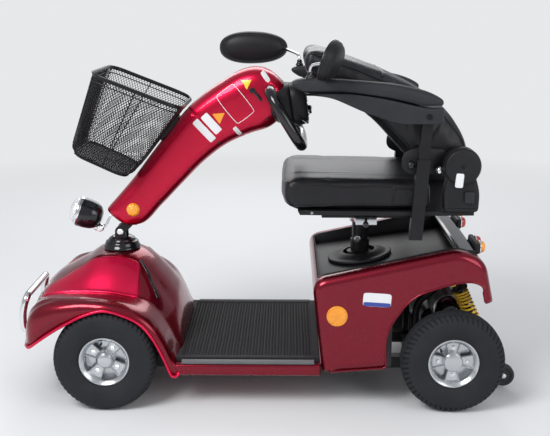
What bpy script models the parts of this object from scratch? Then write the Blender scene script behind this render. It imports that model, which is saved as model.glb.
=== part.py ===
"""Four-wheel mobility scooter, parked with its backrest folded forward.

Metres, +X forward, +Y to the left of the vehicle, +Z up. The origin is on the
ground, midway between the front of the bumper and the rear of the anti-tip
wheels.
"""

import math

import bmesh
import bpy
import numpy as np
from mathutils import Matrix, Vector

# Chassis layout
WHEELBASE = 1.005
FRONT_OVERHANG = 0.2900
REAR_OVERHANG = 0.2180
FRONT_AXLE_X = (WHEELBASE + REAR_OVERHANG - FRONT_OVERHANG) / 2
REAR_AXLE_X = FRONT_AXLE_X - WHEELBASE
GAP = 0.0003
PIN_GAP = 0.0005

# Wheels
TYRE_RADIUS = 0.150
TYRE_WIDTH = 0.088
TRACK_HALF = 0.276
RIM_RADIUS = 0.0745
RIM_BARREL_RADIUS = 0.066
RIM_HALF_WIDTH = 0.030
RIM_FLANGE = 0.0043
RIM_WINDOWS = 4
HUB_RADIUS = 0.026
HUB_BACK = 0.038
AXLE_RADIUS = 0.012
AXLE_REACH = 0.010
WHEEL_STEPS = 24

# Steering
KINGPIN_HALF = 0.200
KINGPIN_RADIUS = 0.018
KNUCKLE_HALF_HEIGHT = 0.041
CLEVIS_PLATE = 0.008
STEER_ARM = 0.085
STEER_ARM_INSET = 0.014
TIE_ROD_RADIUS = 0.006
COLUMN_BEHIND_AXLE = 0.010
COLUMN_RADIUS = 0.014
COLUMN_BOTTOM = 0.205
TILT_HEIGHT = 0.468
TILT_LUG_RADIUS = 0.016
TILT_LUG_HALF = 0.0210
TILLER_LEAN = math.radians(43.8)

# Floor and frame
BODY_HALF = 0.290
FLOOR_TOP = 0.139
FLOOR_BOTTOM = 0.101
FLOOR_HALF = BODY_HALF
FLOOR_FRONT = -0.190
MAT_THICK = 0.013
MAT_HALF = FLOOR_HALF - 0.006
MAT_FRONT = -0.2225
MAT_MARGIN = 0.045
RAIL_HALF = 0.110
RAIL_WIDTH = 0.032
RAIL_HEIGHT = 0.036
RAIL_FRONT = 0.130
RAIL_REAR = 0.075
MOUNT_LOW = 0.124
MOUNT_HIGH = 0.150

# Front body
HOOD_TOP = 0.412
SHELL = 0.005
HOOD_HOLE_RADIUS = 0.030
BOOT_RADIUS = 0.058
BOOT_HEIGHT = 0.038
BUMPER_TUBE = 0.011
BUMPER_HALF = 0.126
BUMPER_LOW = 0.176
BUMPER_TOP = 0.290

# Rear body
BODY_FRONT = 0.4075
BODY_LEAN = 0.031
RAIL_TRIM_HALF = BODY_HALF - 0.052
TRAY_FRONT = 0.362
TRAY_SLOPE = 0.15
TAIL_SLOPE = 0.222
SHOULDER_TOP = 0.480
TAIL_TOP = 0.447
POST_HOLE = 0.044
REFLECTOR_RADIUS = 0.030
REFLECTOR_THICK = 0.006
HANDLE_WIDTH = 0.052
HANDLE_THICK = 0.020

# Rear springs
SPRING_HALF = 0.190
SPRING_COIL = 0.020
SPRING_WIRE = 0.0042
SPRING_TURNS = 6
HOOP_TUBE = 0.011
DAMPER_ROD = 0.006
DAMPER_EYE = 0.008

# Tiller
COVER_SIDES = 20
COVER_POWER = 3.2
LOOP_TUBE = 0.0165
LOOP_HALF = 0.1855
LOOP_END = 0.0777
BASKET_WALL = 0.004

# Seat, measured from the seat post
SEAT_AHEAD_OF_AXLE = 0.2525
SEAT_X = REAR_AXLE_X + SEAT_AHEAD_OF_AXLE
POST_RADIUS = 0.025
DISH_RADIUS = 0.100
TOWER_RISE = 0.012
DISH_HEIGHT = 0.020
PAN_BOTTOM = 0.570
PAN_THICK = 0.012
RAIL_THICK = 0.020
CUSHION_THICK = 0.090
CUSHION_HALF = 0.234
CUSHION_FRONT = 0.245
CUSHION_REAR = -0.185
ARM_POST_HALF = 0.251
ARM_POST_THICK = 0.021
ARM_POST_WIDTH = 0.030
SLEEVE_WALL = 0.003
SLEEVE_TOP = 0.734
SLEEVE_BOTTOM = 0.505
ARM_PIVOT_X = -0.161
ARM_PIVOT_Z = 0.855
ARM_WIDTH = 0.058
ARM_PIN_RADIUS = 0.005
BACK_PIVOT_X = -0.261
BACK_PIVOT_Z = 0.714
BACK_HALF = 0.205
HINGE_RADIUS = 0.053
MIRROR_REACH = 0.380
MIRROR_CLEAR = 0.011
HINGE_INNER = 0.212
HINGE_OUTER = 0.268
BACK_PIN_RADIUS = 0.010
BACK_PIN_REACH = 0.012

# Anti-tip wheels
TIP_RADIUS = 0.034
TIP_WIDTH = 0.026
TIP_HALF = 0.130
TIP_HEIGHT = 0.046


def paint(name, colour, roughness=0.5, metallic=0.0):
    """A Principled material with one flat colour."""
    material = bpy.data.materials.get(name) or bpy.data.materials.new(name)
    material.use_nodes = True
    shader = material.node_tree.nodes["Principled BSDF"]
    shader.inputs["Base Color"].default_value = (*colour, 1.0)
    shader.inputs["Roughness"].default_value = roughness
    shader.inputs["Metallic"].default_value = metallic
    return material


RED = ("body_red", (0.30, 0.01, 0.05), 0.25, 0.35)
BLACK = ("black_plastic", (0.03, 0.03, 0.035), 0.5, 0.0)
STEEL = ("black_steel", (0.02, 0.02, 0.02), 0.45, 0.3)
CHROME = ("chrome", (0.8, 0.8, 0.8), 0.15, 1.0)
SILVER = ("silver_wheel", (0.62, 0.64, 0.66), 0.35, 0.8)
RUBBER = ("tyre_rubber", (0.05, 0.05, 0.055), 0.85, 0.0)
VINYL = ("seat_vinyl", (0.03, 0.03, 0.035), 0.4, 0.0)
AMBER = ("amber_lens", (0.9, 0.35, 0.02), 0.25, 0.0)
LAMP_RED = ("red_lens", (0.7, 0.02, 0.02), 0.2, 0.0)
YELLOW = ("spring_yellow", (0.8, 0.5, 0.02), 0.4, 0.0)
GLASS = ("lamp_glass", (0.85, 0.9, 0.92), 0.1, 0.0)


def solid(name, verts, faces, finish, origin=(0, 0, 0), sharp=35):
    """An object with one closed mesh, its faces turned outwards."""
    mesh = bpy.data.meshes.new(name)
    work = bmesh.new()
    points = [work.verts.new(Vector(v) - Vector(origin)) for v in verts]
    for face in faces:
        work.faces.new([points[i] for i in face])
    bmesh.ops.remove_doubles(work, verts=work.verts, dist=1e-6)
    bmesh.ops.recalc_face_normals(work, faces=work.faces)
    if work.calc_volume(signed=True) < 0:
        bmesh.ops.reverse_faces(work, faces=work.faces)
    work.to_mesh(mesh)
    work.free()
    mesh.shade_smooth()
    mesh.set_sharp_from_angle(angle=math.radians(sharp))
    mesh.materials.append(paint(*finish))
    item = bpy.data.objects.new(name, mesh)
    item.location = origin
    bpy.context.scene.collection.objects.link(item)
    return item


def loft(rings, closed=False):
    """Vertices and faces of rings of equal count joined in order, capped unless closed."""
    rings = np.asarray(rings, float)
    count, size = rings.shape[:2]
    faces = []
    for k in range(count if closed else count - 1):
        here, there = k * size, (k + 1) % count * size
        faces += [
            (here + i, here + (i + 1) % size, there + (i + 1) % size, there + i)
            for i in range(size)
        ]
    if not closed:
        faces += [tuple(range(size)), tuple(range((count - 1) * size, count * size))]
    return rings.reshape(-1, 3), faces


def lathe(profile, steps, ring=False):
    """A profile of (radius, height) turned about +Y, its ends on the axis unless it is a ring."""
    verts, rows = [], []
    for radius, height in profile:
        if radius < 1e-9:
            rows.append([len(verts)] * steps)
            verts.append((0.0, height, 0.0))
            continue
        rows.append(list(range(len(verts), len(verts) + steps)))
        for k in range(steps):
            angle = 2 * math.pi * k / steps
            verts.append((radius * math.cos(angle), height, radius * math.sin(angle)))
    faces = []
    for k in range(len(rows) if ring else len(rows) - 1):
        low, high = rows[k], rows[(k + 1) % len(rows)]
        for i in range(steps):
            j = (i + 1) % steps
            corners = dict.fromkeys((low[i], low[j], high[j], high[i]))
            if len(corners) > 2:
                faces.append(tuple(corners))
    return verts, faces


def turned(name, profile, steps, finish, at, axis=(0, 1, 0), ring=False):
    """A turned piece with its axis through a point, along a direction."""
    verts, faces = lathe(profile, steps, ring)
    turn = Vector((0, 1, 0)).rotation_difference(Vector(axis).normalized())
    verts = [turn @ Vector(v) + Vector(at) for v in verts]
    return solid(name, verts, faces, finish, at)


def arc(x, z, radius, start, end, steps):
    """Points along an arc, its angles in degrees from +X towards +Z."""
    angles = np.radians(np.linspace(start, end, steps))
    return [(x + radius * math.cos(a), z + radius * math.sin(a)) for a in angles]


def rounded(corners, steps=4):
    """An outline from (x, z, radius) corners, each a circular arc."""
    outline = []
    count = len(corners)
    for k, (x, z, radius) in enumerate(corners):
        here = Vector((x, z))
        if radius < 1e-6:
            outline.append((x, z))
            continue
        before = (Vector(corners[k - 1][:2]) - here).normalized()
        after = (Vector(corners[(k + 1) % count][:2]) - here).normalized()
        half = before.angle(after) / 2
        reach = radius / math.tan(half)
        middle = here + (before + after).normalized() * radius / math.sin(half)
        first, last = here + before * reach - middle, here + after * reach - middle
        span = first.angle(last)
        for t in np.linspace(0, 1, steps):
            mix = first * math.sin((1 - t) * span) + last * math.sin(t * span)
            outline.append(tuple(middle + mix / math.sin(span)))
    return outline


def inset(outline, distance):
    """An outline of (x, z) moved inwards by a distance along its corner normals."""
    points = np.array(outline, float)
    ahead = np.roll(points, -1, axis=0) - points
    area = np.sum(points[:, 0] * np.roll(points[:, 1], -1) - np.roll(points[:, 0], -1) * points[:, 1])
    ahead /= np.linalg.norm(ahead, axis=1)[:, None]
    normals = np.stack([-ahead[:, 1], ahead[:, 0]], axis=1) * np.sign(area)
    corner = normals + np.roll(normals, 1, axis=0)
    corner /= np.maximum((corner * normals).sum(axis=1), 0.3)[:, None]
    return points + corner * distance


def prism(outline, near, far):
    """An outline in X and Z carried along Y."""
    return loft([[(x, y, z) for x, z in outline] for y in (near, far)])


def pillow(outline, near, far, radius, steps=3):
    """A prism along Y whose two rims are rounded over."""
    turns = np.linspace(0, math.pi / 2, steps + 1)
    rings = []
    for side, edge in ((-1, near), (1, far)):
        walk = turns[::-1] if side < 0 else turns
        for t in walk:
            y = edge - side * radius * (1 - math.sin(t))
            rings.append([(x, y, z) for x, z in inset(outline, radius * (1 - math.cos(t)))])
    return loft(rings)


def box(name, low, high, finish, origin=(0, 0, 0)):
    """A plain block between two corners."""
    (x0, y0, z0), (x1, y1, z1) = low, high
    verts, faces = prism([(x0, z0), (x1, z0), (x1, z1), (x0, z1)], y0, y1)
    return solid(name, verts, faces, finish, origin)


def tube(points, radius, sides=10, closed=False):
    """A round bar along a path, its frame carried without twist."""
    path = np.array(points, float)
    if closed:
        tangents = np.roll(path, -1, axis=0) - np.roll(path, 1, axis=0)
    else:
        tangents = np.gradient(path, axis=0)
    tangents /= np.linalg.norm(tangents, axis=1)[:, None]
    helper = np.eye(3)[np.argmin(np.abs(tangents[0]))]
    side = np.cross(tangents[0], helper)
    angles = np.linspace(0, 2 * math.pi, sides, endpoint=False)
    rings = []
    for point, tangent in zip(path, tangents):
        side = side - tangent * side.dot(tangent)
        side /= np.linalg.norm(side)
        other = np.cross(tangent, side)
        rings.append(point + radius * (np.outer(np.cos(angles), side) + np.outer(np.sin(angles), other)))
    return loft(rings, closed)


def bend(points, radius, steps=5):
    """A path through 3D points with its inner corners rounded."""
    path = [Vector(points[0])]
    for before, here, after in zip(points, points[1:], points[2:]):
        here = Vector(here)
        back, on = (Vector(before) - here), (Vector(after) - here)
        reach = min(radius, back.length * 0.45, on.length * 0.45)
        start, end = here + back.normalized() * reach, here + on.normalized() * reach
        for t in np.linspace(0, 1, steps):
            path.append(start * (1 - t) ** 2 + here * 2 * t * (1 - t) + end * t * t)
    return path + [Vector(points[-1])]


def boolean(item, other, operation):
    """Cuts or joins one object with a hidden helper."""
    other.hide_render = True
    other.display_type = "WIRE"
    modifier = item.modifiers.new(operation.lower(), "BOOLEAN")
    modifier.operation = operation
    modifier.object = other


def cut(item, other):
    """Takes the helper's shape out of the object."""
    boolean(item, other, "DIFFERENCE")


def join(item, *others):
    """Makes the helpers part of the object."""
    for other in others:
        boolean(item, other, "UNION")


def pivot(name, at):
    """An empty on a joint's axis."""
    empty = bpy.data.objects.new(name, None)
    empty.location = at
    bpy.context.scene.collection.objects.link(empty)
    return empty


def hang(parent, *items):
    """Parents objects to an empty, leaving them where they are."""
    for item in items:
        item.parent = parent
        item.matrix_parent_inverse = Matrix.Translation(parent.location).inverted()


def sides():
    """The two sides of the vehicle."""
    return (("left", 1), ("right", -1))


def tyre_profile():
    """Half section of a tyre as (radius, offset), from the bead round the crown."""
    bead = RIM_HALF_WIDTH - RIM_FLANGE - GAP
    half = TYRE_WIDTH / 2
    outer = [
        (RIM_BARREL_RADIUS + GAP, bead),
        (RIM_RADIUS + GAP, bead),
        (RIM_RADIUS + GAP, RIM_HALF_WIDTH + 0.003),
        (0.095, half - 0.001),
        (0.130, half - 0.002),
        (TYRE_RADIUS - 0.003, half - 0.016),
        (TYRE_RADIUS, half - 0.032),
    ]
    return outer + [(r, -y) for r, y in reversed(outer)]


def rim_profile():
    """Half section of a rim as (radius, offset): cap, dish, flanges, barrel, hub and blind bore."""
    half = RIM_HALF_WIDTH
    inner = RIM_BARREL_RADIUS - 0.006
    core = HUB_RADIUS - 0.004
    return [
        (0, 0.026),
        (0.020, 0.024),
        (core, 0.009),
        (inner - 0.008, 0.007),
        (inner, 0.020),
        (RIM_RADIUS, half),
        (RIM_RADIUS, half - RIM_FLANGE),
        (RIM_BARREL_RADIUS, half - RIM_FLANGE),
        (RIM_BARREL_RADIUS, RIM_FLANGE - half),
        (RIM_RADIUS, RIM_FLANGE - half),
        (RIM_RADIUS, -half),
        (inner, -half),
        (inner, 0.001),
        (core, 0.001),
        (core, -HUB_BACK),
        (AXLE_RADIUS + PIN_GAP, -HUB_BACK),
        (AXLE_RADIUS + PIN_GAP, AXLE_REACH + PIN_GAP),
        (0, AXLE_REACH + PIN_GAP),
    ]


def window_cutter():
    """Wedges that open the rim's disc between its spokes."""
    verts, faces = [], []
    inner, outer = HUB_RADIUS + 0.003, RIM_BARREL_RADIUS - 0.016
    half_turn = math.radians(0.30 * 360 / RIM_WINDOWS)
    for k in range(RIM_WINDOWS):
        middle = math.radians(45) + 2 * math.pi * k / RIM_WINDOWS
        wedge = [
            (radius * math.cos(middle + turn), radius * math.sin(middle + turn))
            for radius, turns in ((inner, (0.8, -0.8)), (outer, (-1, 1)))
            for turn in (t * half_turn for t in turns)
        ]
        more_verts, more_faces = prism(wedge, -0.02, 0.04)
        faces += [tuple(i + len(verts) for i in face) for face in more_faces]
        verts += [tuple(v) for v in more_verts]
    return verts, faces


def make_wheels():
    """Four tyres on rims, alike, each pair turned about so that its dish faces out."""
    axles = (("front", FRONT_AXLE_X), ("rear", REAR_AXLE_X))
    cutter = solid("window_cutter", *window_cutter(), STEEL)
    cutter.hide_render = True
    cutter.display_type = "WIRE"
    tyre_mesh = rim_mesh = None
    for place, x in axles:
        for side, sign in sides():
            at = (x, sign * TRACK_HALF, TYRE_RADIUS)
            pieces = []
            for kind, profile, ring, finish, mesh in (
                ("tyre", tyre_profile(), True, RUBBER, tyre_mesh),
                ("rim", rim_profile(), False, SILVER, rim_mesh),
            ):
                name = f"{kind}_{place}_{side}"
                if mesh is None:
                    item = solid(name, *lathe(profile, WHEEL_STEPS, ring), finish)
                else:
                    item = bpy.data.objects.new(name, mesh)
                    bpy.context.scene.collection.objects.link(item)
                item.location = at
                item.rotation_euler.z = 0 if sign > 0 else math.pi
                pieces.append(item)
            tyre_mesh, rim_mesh = pieces[0].data, pieces[1].data
            cutter_here = bpy.data.objects.new(f"windows_{place}_{side}", cutter.data)
            cutter_here.matrix_world = Matrix.Translation(at)
            bpy.context.scene.collection.objects.link(cutter_here)
            cut(pieces[1], cutter_here)


def make_front_axle():
    """Beam with a clevis at each end, the two knuckles and the tie rod."""
    top, bottom = TYRE_RADIUS + KNUCKLE_HALF_HEIGHT, TYRE_RADIUS - KNUCKLE_HALF_HEIGHT
    web, end = KINGPIN_HALF - 0.045, KINGPIN_HALF + KINGPIN_RADIUS
    half_beam, saddle = 0.020, RAIL_HALF + RAIL_WIDTH / 2
    low_plate, high_plate = bottom - PIN_GAP - CLEVIS_PLATE, top + PIN_GAP + CLEVIS_PLATE
    rail_top = FLOOR_BOTTOM - GAP
    right = [
        (saddle, rail_top + GAP),
        (saddle, TYRE_RADIUS - half_beam),
        (web, TYRE_RADIUS - half_beam),
        (web, low_plate),
        (end, low_plate),
        (end, bottom - PIN_GAP),
        (web + 0.012, bottom - PIN_GAP),
        (web + 0.012, top + PIN_GAP),
        (end, top + PIN_GAP),
        (end, high_plate),
        (web, high_plate),
        (web, TYRE_RADIUS + half_beam),
    ]
    outline = right + [(-y, z) for y, z in reversed(right)]
    rings = [[(x, y, z) for y, z in outline] for x in (FRONT_AXLE_X - 0.018, FRONT_AXLE_X + 0.018)]
    solid("front_axle", *loft(rings), STEEL)
    arm_x, arm_z = FRONT_AXLE_X + STEER_ARM, TYRE_RADIUS - KNUCKLE_HALF_HEIGHT + 0.024
    for side, sign in sides():
        pin = (FRONT_AXLE_X, sign * KINGPIN_HALF, TYRE_RADIUS)
        height = KNUCKLE_HALF_HEIGHT
        sleeve = [(0, -height), (KINGPIN_RADIUS, -height), (KINGPIN_RADIUS, height), (0, height)]
        knuckle = turned(f"knuckle_{side}", sleeve, 16, STEEL, pin, (0, 0, 1))
        reach = TRACK_HALF + AXLE_REACH - KINGPIN_HALF
        shaft = [(0, 0), (AXLE_RADIUS, 0), (AXLE_RADIUS, reach), (0, reach)]
        stub = turned(f"stub_{side}", shaft, 16, STEEL, pin, (0, sign, 0))
        foot = sign * KINGPIN_HALF
        tip = foot - sign * STEER_ARM_INSET
        lever = solid(
            f"arm_{side}",
            *loft([
                [(FRONT_AXLE_X, foot + w, arm_z + h) for w, h in ((-0.01, -0.005), (0.01, -0.005), (0.01, 0.005), (-0.01, 0.005))],
                [(arm_x + 0.008, tip + w, arm_z + h) for w, h in ((-0.008, -0.005), (0.008, -0.005), (0.008, 0.005), (-0.008, 0.005))],
            ]),
            STEEL,
        )
        join(knuckle, stub, lever)
    rod_z = arm_z - 0.005 - PIN_GAP - TIE_ROD_RADIUS
    reach = KINGPIN_HALF - STEER_ARM_INSET + 0.008
    start = Vector((arm_x, KINGPIN_HALF - STEER_ARM_INSET, rod_z))
    rod = [(0, -reach), (TIE_ROD_RADIUS, -reach), (TIE_ROD_RADIUS, reach), (0, reach)]
    verts, faces = lathe(rod, 10)
    verts = [(arm_x + x, y, rod_z + z) for x, y, z in verts]
    solid("tie_rod", verts, faces, STEEL, start)


def make_frame():
    """Two main rails, cross members, the steering head, the seat tower and the rear hoop."""
    top = FLOOR_BOTTOM - GAP
    low = top - RAIL_HEIGHT
    front, rear = FRONT_AXLE_X + RAIL_FRONT, REAR_AXLE_X + RAIL_REAR
    half = RAIL_WIDTH / 2
    frame = box("frame", (rear, RAIL_HALF - half, low), (front, RAIL_HALF + half, top), STEEL)
    parts = [box("rail_right", (rear, -RAIL_HALF - half, low), (front, half - RAIL_HALF, top), STEEL)]
    cross_x = FRONT_AXLE_X - 0.10
    for k, x in enumerate((front - 0.03, cross_x, REAR_AXLE_X + 0.42, SEAT_X, rear)):
        parts.append(
            box(f"cross_{k}", (x, -RAIL_HALF, low + 0.004), (x + 0.03, RAIL_HALF, top - 0.004), STEEL)
        )
    column_x = FRONT_AXLE_X - COLUMN_BEHIND_AXLE
    head_top = HOOD_TOP - 0.060
    bore = COLUMN_RADIUS + PIN_GAP
    outer = COLUMN_RADIUS + 0.010
    web_end = (column_x - bore - 0.002, 0.006, head_top - 0.01)
    parts.append(box("head_web", (cross_x, -0.006, top - 0.01), web_end, STEEL))
    parts.append(turned(
        "head_tube",
        [(bore, 0), (outer, 0), (outer, 0.10), (bore, 0.10)],
        16, STEEL, (column_x, 0, head_top - 0.10), (0, 0, 1), ring=True,
    ))
    wall = BODY_HALF - SHELL - GAP
    mount_x = REAR_AXLE_X + 0.355
    parts.append(box("body_mount", (mount_x, -wall, MOUNT_LOW), (mount_x + 0.014, wall, MOUNT_HIGH), STEEL))
    for side, sign in sides():
        near, far = sorted((sign * (RAIL_HALF - 0.010), sign * (RAIL_HALF + 0.010)))
        riser_top = (mount_x + 0.012, far, MOUNT_LOW + 0.004)
        parts.append(box(f"riser_{side}", (mount_x + 0.002, near, top - 0.006), riser_top, STEEL))
    tower_top = tray_height(SEAT_X) + TOWER_RISE
    parts.append(box("tower", (SEAT_X - 0.03, -0.03, top - 0.01), (SEAT_X + 0.03, 0.03, tower_top), STEEL))
    hoop_x = REAR_AXLE_X + RAIL_REAR
    spring_top = spring_ends()[0]
    cap_z = spring_top[1] + HOOP_TUBE + DAMPER_ROD * lean_sine() + GAP
    for side, sign in sides():
        path = bend(
            [
                (hoop_x + 0.012, sign * RAIL_HALF, top - 0.012),
                (hoop_x + 0.012, sign * RAIL_HALF, 0.27),
                (spring_top[0] + 0.03, sign * 0.17, cap_z - 0.006),
                (spring_top[0] + 0.010, sign * SPRING_HALF, cap_z),
                (spring_top[0] - 0.014, sign * SPRING_HALF, cap_z),
            ],
            0.04, 4,
        )
        parts.append(solid(f"hoop_{side}", *tube(path, HOOP_TUBE, 8), STEEL))
    join(frame, *parts)


def spring_ends():
    """Top and bottom of the rear springs in X and Z."""
    return (REAR_AXLE_X - 0.022, 0.352), (REAR_AXLE_X - 0.098, 0.190)


def lean_sine():
    """Sine of the springs' lean from upright."""
    (top_x, top_z), (low_x, low_z) = spring_ends()
    return (top_x - low_x) / math.hypot(top_x - low_x, top_z - low_z)


def make_rear_suspension():
    """Transaxle with its motor and brackets, and on each side a damper inside its coil spring."""
    reach = TRACK_HALF + AXLE_REACH
    tube_end = TRACK_HALF - 0.058
    half = [(0.028, 0.0), (0.028, tube_end), (AXLE_RADIUS, tube_end), (AXLE_RADIUS, reach), (0, reach)]
    profile = [(r, -y) for r, y in reversed(half)][:-1] + half[1:]
    axle = turned("transaxle", profile, 16, STEEL, (REAR_AXLE_X, 0, TYRE_RADIUS))
    gearbox = solid(
        "gearbox",
        *pillow(
            rounded([
                (REAR_AXLE_X - 0.065, 0.095, 0.03), (REAR_AXLE_X + 0.06, 0.105, 0.02),
                (REAR_AXLE_X + 0.06, 0.215, 0.03), (REAR_AXLE_X - 0.055, 0.275, 0.04),
            ]),
            -0.05, 0.05, 0.012,
        ),
        STEEL,
    )
    motor = turned(
        "motor",
        [(0, 0), (0.050, 0), (0.050, 0.15), (0.046, 0.165), (0.030, 0.178), (0, 0.182)],
        20, STEEL, (REAR_AXLE_X - 0.014, 0.0, 0.243),
    )
    parts = [gearbox, motor]
    (top_x, top_z), (low_x, low_z) = spring_ends()
    lean = Vector((top_x - low_x, 0, top_z - low_z))
    length = lean.length
    up = lean.normalized()
    for side, sign in sides():
        y = sign * SPRING_HALF
        parts.append(
            box(
                f"foot_{side}",
                (low_x - 0.016, y - 0.012, TYRE_RADIUS - 0.008),
                (REAR_AXLE_X, y + 0.012, low_z - DAMPER_EYE * lean_sine() - GAP),
                STEEL,
            )
        )
        seat = SPRING_COIL + SPRING_WIRE + 0.001
        rod = [
            (0, 0), (DAMPER_EYE, 0), (DAMPER_EYE, 0.012), (seat, 0.012), (seat, 0.016), (0.010, 0.016),
            (0.010, length * 0.55), (DAMPER_ROD, length * 0.55), (DAMPER_ROD, length - 0.014),
            (seat, length - 0.014), (seat, length - 0.010), (DAMPER_ROD, length - 0.010), (DAMPER_ROD, length),
            (0, length),
        ]
        turned(f"damper_{side}", rod, 14, STEEL, (low_x, y, low_z), up)
        start, end = 0.016 + SPRING_WIRE + GAP, length - 0.014 - SPRING_WIRE - GAP
        count = SPRING_TURNS * 8
        right = up.cross(Vector((0, 1, 0)))
        path = []
        for k in range(count + 1):
            turn = 2 * math.pi * SPRING_TURNS * k / count
            along = start + (end - start) * k / count
            path.append(
                Vector((low_x, y, low_z)) + up * along
                + (right * math.cos(turn) + Vector((0, 1, 0)) * math.sin(turn)) * SPRING_COIL
            )
        solid(f"spring_{side}", *tube(path, SPRING_WIRE, 4), YELLOW)
    join(axle, *parts)


def hood_sections():
    """Half sections of the front body from nose to floor.

    Columns: x from the front axle, height on the centre line, hood edge (y, z),
    crease (y, z), flare top (y, z), lip (y, z).
    """
    return (
        (0.250, 0.170, 0.070, 0.170, 0.115, 0.174, 0.150, 0.181, 0.172, 0.178),
        (0.247, 0.232, 0.072, 0.230, 0.128, 0.222, 0.185, 0.210, 0.215, 0.176),
        (0.238, 0.272, 0.074, 0.268, 0.145, 0.256, 0.222, 0.246, 0.252, 0.177),
        (0.220, 0.306, 0.075, 0.300, 0.160, 0.286, 0.250, 0.284, 0.282, 0.188),
        (0.190, 0.334, 0.075, 0.328, 0.170, 0.306, 0.262, 0.312, 0.298, 0.211),
        (0.150, 0.357, 0.076, 0.350, 0.176, 0.316, 0.268, 0.327, 0.306, 0.238),
        (0.100, 0.384, 0.080, 0.377, 0.180, 0.320, 0.272, 0.333, 0.311, 0.268),
        (0.054, HOOD_TOP, 0.084, HOOD_TOP, 0.182, 0.320, 0.274, 0.334, 0.312, 0.291),
        (0.000, HOOD_TOP, 0.084, HOOD_TOP, 0.184, 0.318, 0.274, 0.330, 0.312, 0.306),
        (-0.070, HOOD_TOP, 0.084, 0.394, 0.184, 0.306, 0.272, 0.314, 0.312, 0.288),
        (-0.105, 0.390, 0.094, 0.363, 0.190, 0.300, 0.278, 0.296, 0.311, 0.268),
        (-0.140, 0.354, 0.107, 0.322, 0.198, 0.276, 0.278, 0.268, 0.309, 0.226),
        (-0.172, 0.316, 0.118, 0.280, 0.200, 0.232, 0.274, 0.216, 0.304, 0.160),
        (-0.194, 0.280, 0.125, 0.243, 0.200, 0.186, 0.268, 0.166, 0.299, 0.104),
        (-0.206, 0.240, 0.130, 0.207, 0.200, 0.158, 0.266, 0.146, 0.298, 0.104),
        (-0.213, 0.190, 0.132, 0.172, 0.200, 0.142, 0.264, 0.132, 0.298, 0.110),
        (-0.218, 0.120, 0.132, 0.119, 0.200, 0.118, 0.262, 0.117, 0.298, 0.116),
    )


def hood_outline(row):
    """One half section as (y, z) points from the centre to the lip."""
    x, top, hood_y, hood_z, crease_y, crease_z, flare_y, flare_z, lip_y, lip_z = row
    return [
        (0.0, top),
        (hood_y * 0.6, top - (top - hood_z) * 0.3),
        (hood_y, hood_z),
        ((hood_y + crease_y) / 2, (hood_z + crease_z) / 2 + 0.006),
        (crease_y, crease_z),
        (flare_y, flare_z),
        (flare_y + (lip_y - flare_y) * 0.75, flare_z - (flare_z - lip_z) * 0.25),
        (lip_y, lip_z),
    ]


def make_front_body():
    """Hood, flared arches and knee shield as one thin shell, open below, trimmed along the floor."""
    rows = []
    for row in hood_sections():
        half = hood_outline(row)
        section = [(-y, z) for y, z in reversed(half[1:])] + half
        rows.append([(FRONT_AXLE_X + row[0], y, z) for y, z in section])
    shell = skin("front_body", rows, RED, SHELL, 50)
    column_x = FRONT_AXLE_X - COLUMN_BEHIND_AXLE
    radius = HOOD_HOLE_RADIUS
    half, front = FLOOR_HALF + GAP, FRONT_AXLE_X + FLOOR_FRONT + GAP
    cut(shell, box("floor_trim", (front - 0.1, -half, 0), (front, half, FLOOR_TOP + GAP), RED))
    cut(shell, solid("bumper_hole", *tube(bumper_path(), BUMPER_TUBE + GAP, 8), RED))
    cut(shell, turned(
        "column_hole", [(0, 0), (radius, 0), (radius, 0.1), (0, 0.1)], 21, RED,
        (column_x, 0, HOOD_TOP - 0.05), (0, 0, 1),
    ))
    base = HOOD_TOP + GAP
    bore = COLUMN_RADIUS + PIN_GAP
    folds = [
        (bore, 0), (BOOT_RADIUS, 0), (BOOT_RADIUS, 0.006), (0.052, 0.012), (0.050, 0.018),
        (0.042, 0.022), (0.038, 0.030), (0.026, BOOT_HEIGHT), (bore, BOOT_HEIGHT),
    ]
    turned("column_boot", folds, 16, BLACK, (column_x, 0, base), (0, 0, 1), ring=True)


def make_bumper():
    """Bright tube that stands in a loop in front of the nose."""
    solid("bumper", *tube(bumper_path(), BUMPER_TUBE, 8), CHROME)


def make_floor():
    """Floor tray between the two body mouldings, with its ribbed mat."""
    front, rear = FRONT_AXLE_X + FLOOR_FRONT, body_front(FLOOR_TOP) + GAP
    outline = [(rear, FLOOR_BOTTOM), (front, FLOOR_BOTTOM), (front, FLOOR_TOP), (rear, FLOOR_TOP)]
    solid("floor_tray", *pillow(outline, -FLOOR_HALF, FLOOR_HALF, 0.008, 2), RED)
    base = FLOOR_TOP + GAP
    start, end = rear + MAT_MARGIN, FRONT_AXLE_X + MAT_FRONT
    outline = [(start, base), (end, base), (end, base + MAT_THICK), (start, base + MAT_THICK)]
    solid("floor_mat", *pillow(outline, -MAT_HALF, MAT_HALF, 0.004, 1), RUBBER)


def body_front(height):
    """X of the rear body's front face at a height."""
    return REAR_AXLE_X + BODY_FRONT - BODY_LEAN * (0.365 - height) / 0.248


def tail_x(height):
    """X of the rear body's back at a height."""
    return REAR_AXLE_X - 0.0825 - (0.450 - height) * TAIL_SLOPE


def tray_height(x):
    """Height of the recessed top panel at an X."""
    return TRAY_FRONT + (REAR_AXLE_X + BODY_FRONT - x) * TRAY_SLOPE


def arch_outline():
    """Space under the rear body's lower edge: sill, wheel arch and underside of the tail."""
    axle = REAR_AXLE_X
    return rounded(
        [
            (axle + 0.50, 0.04, 0),
            (axle + 0.50, 0.116, 0),
            (axle + 0.1920, 0.130, 0.006),
            (axle + 0.1975, 0.235, 0.060),
            (axle + 0.1250, 0.345, 0.060),
            (axle + 0.0100, 0.385, 0.080),
            (axle - 0.0600, 0.391, 0.015),
            (tail_x(0.331), 0.331, 0),
            (axle - 0.30, 0.290, 0),
            (axle - 0.30, 0.04, 0),
        ],
        4,
    )


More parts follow.
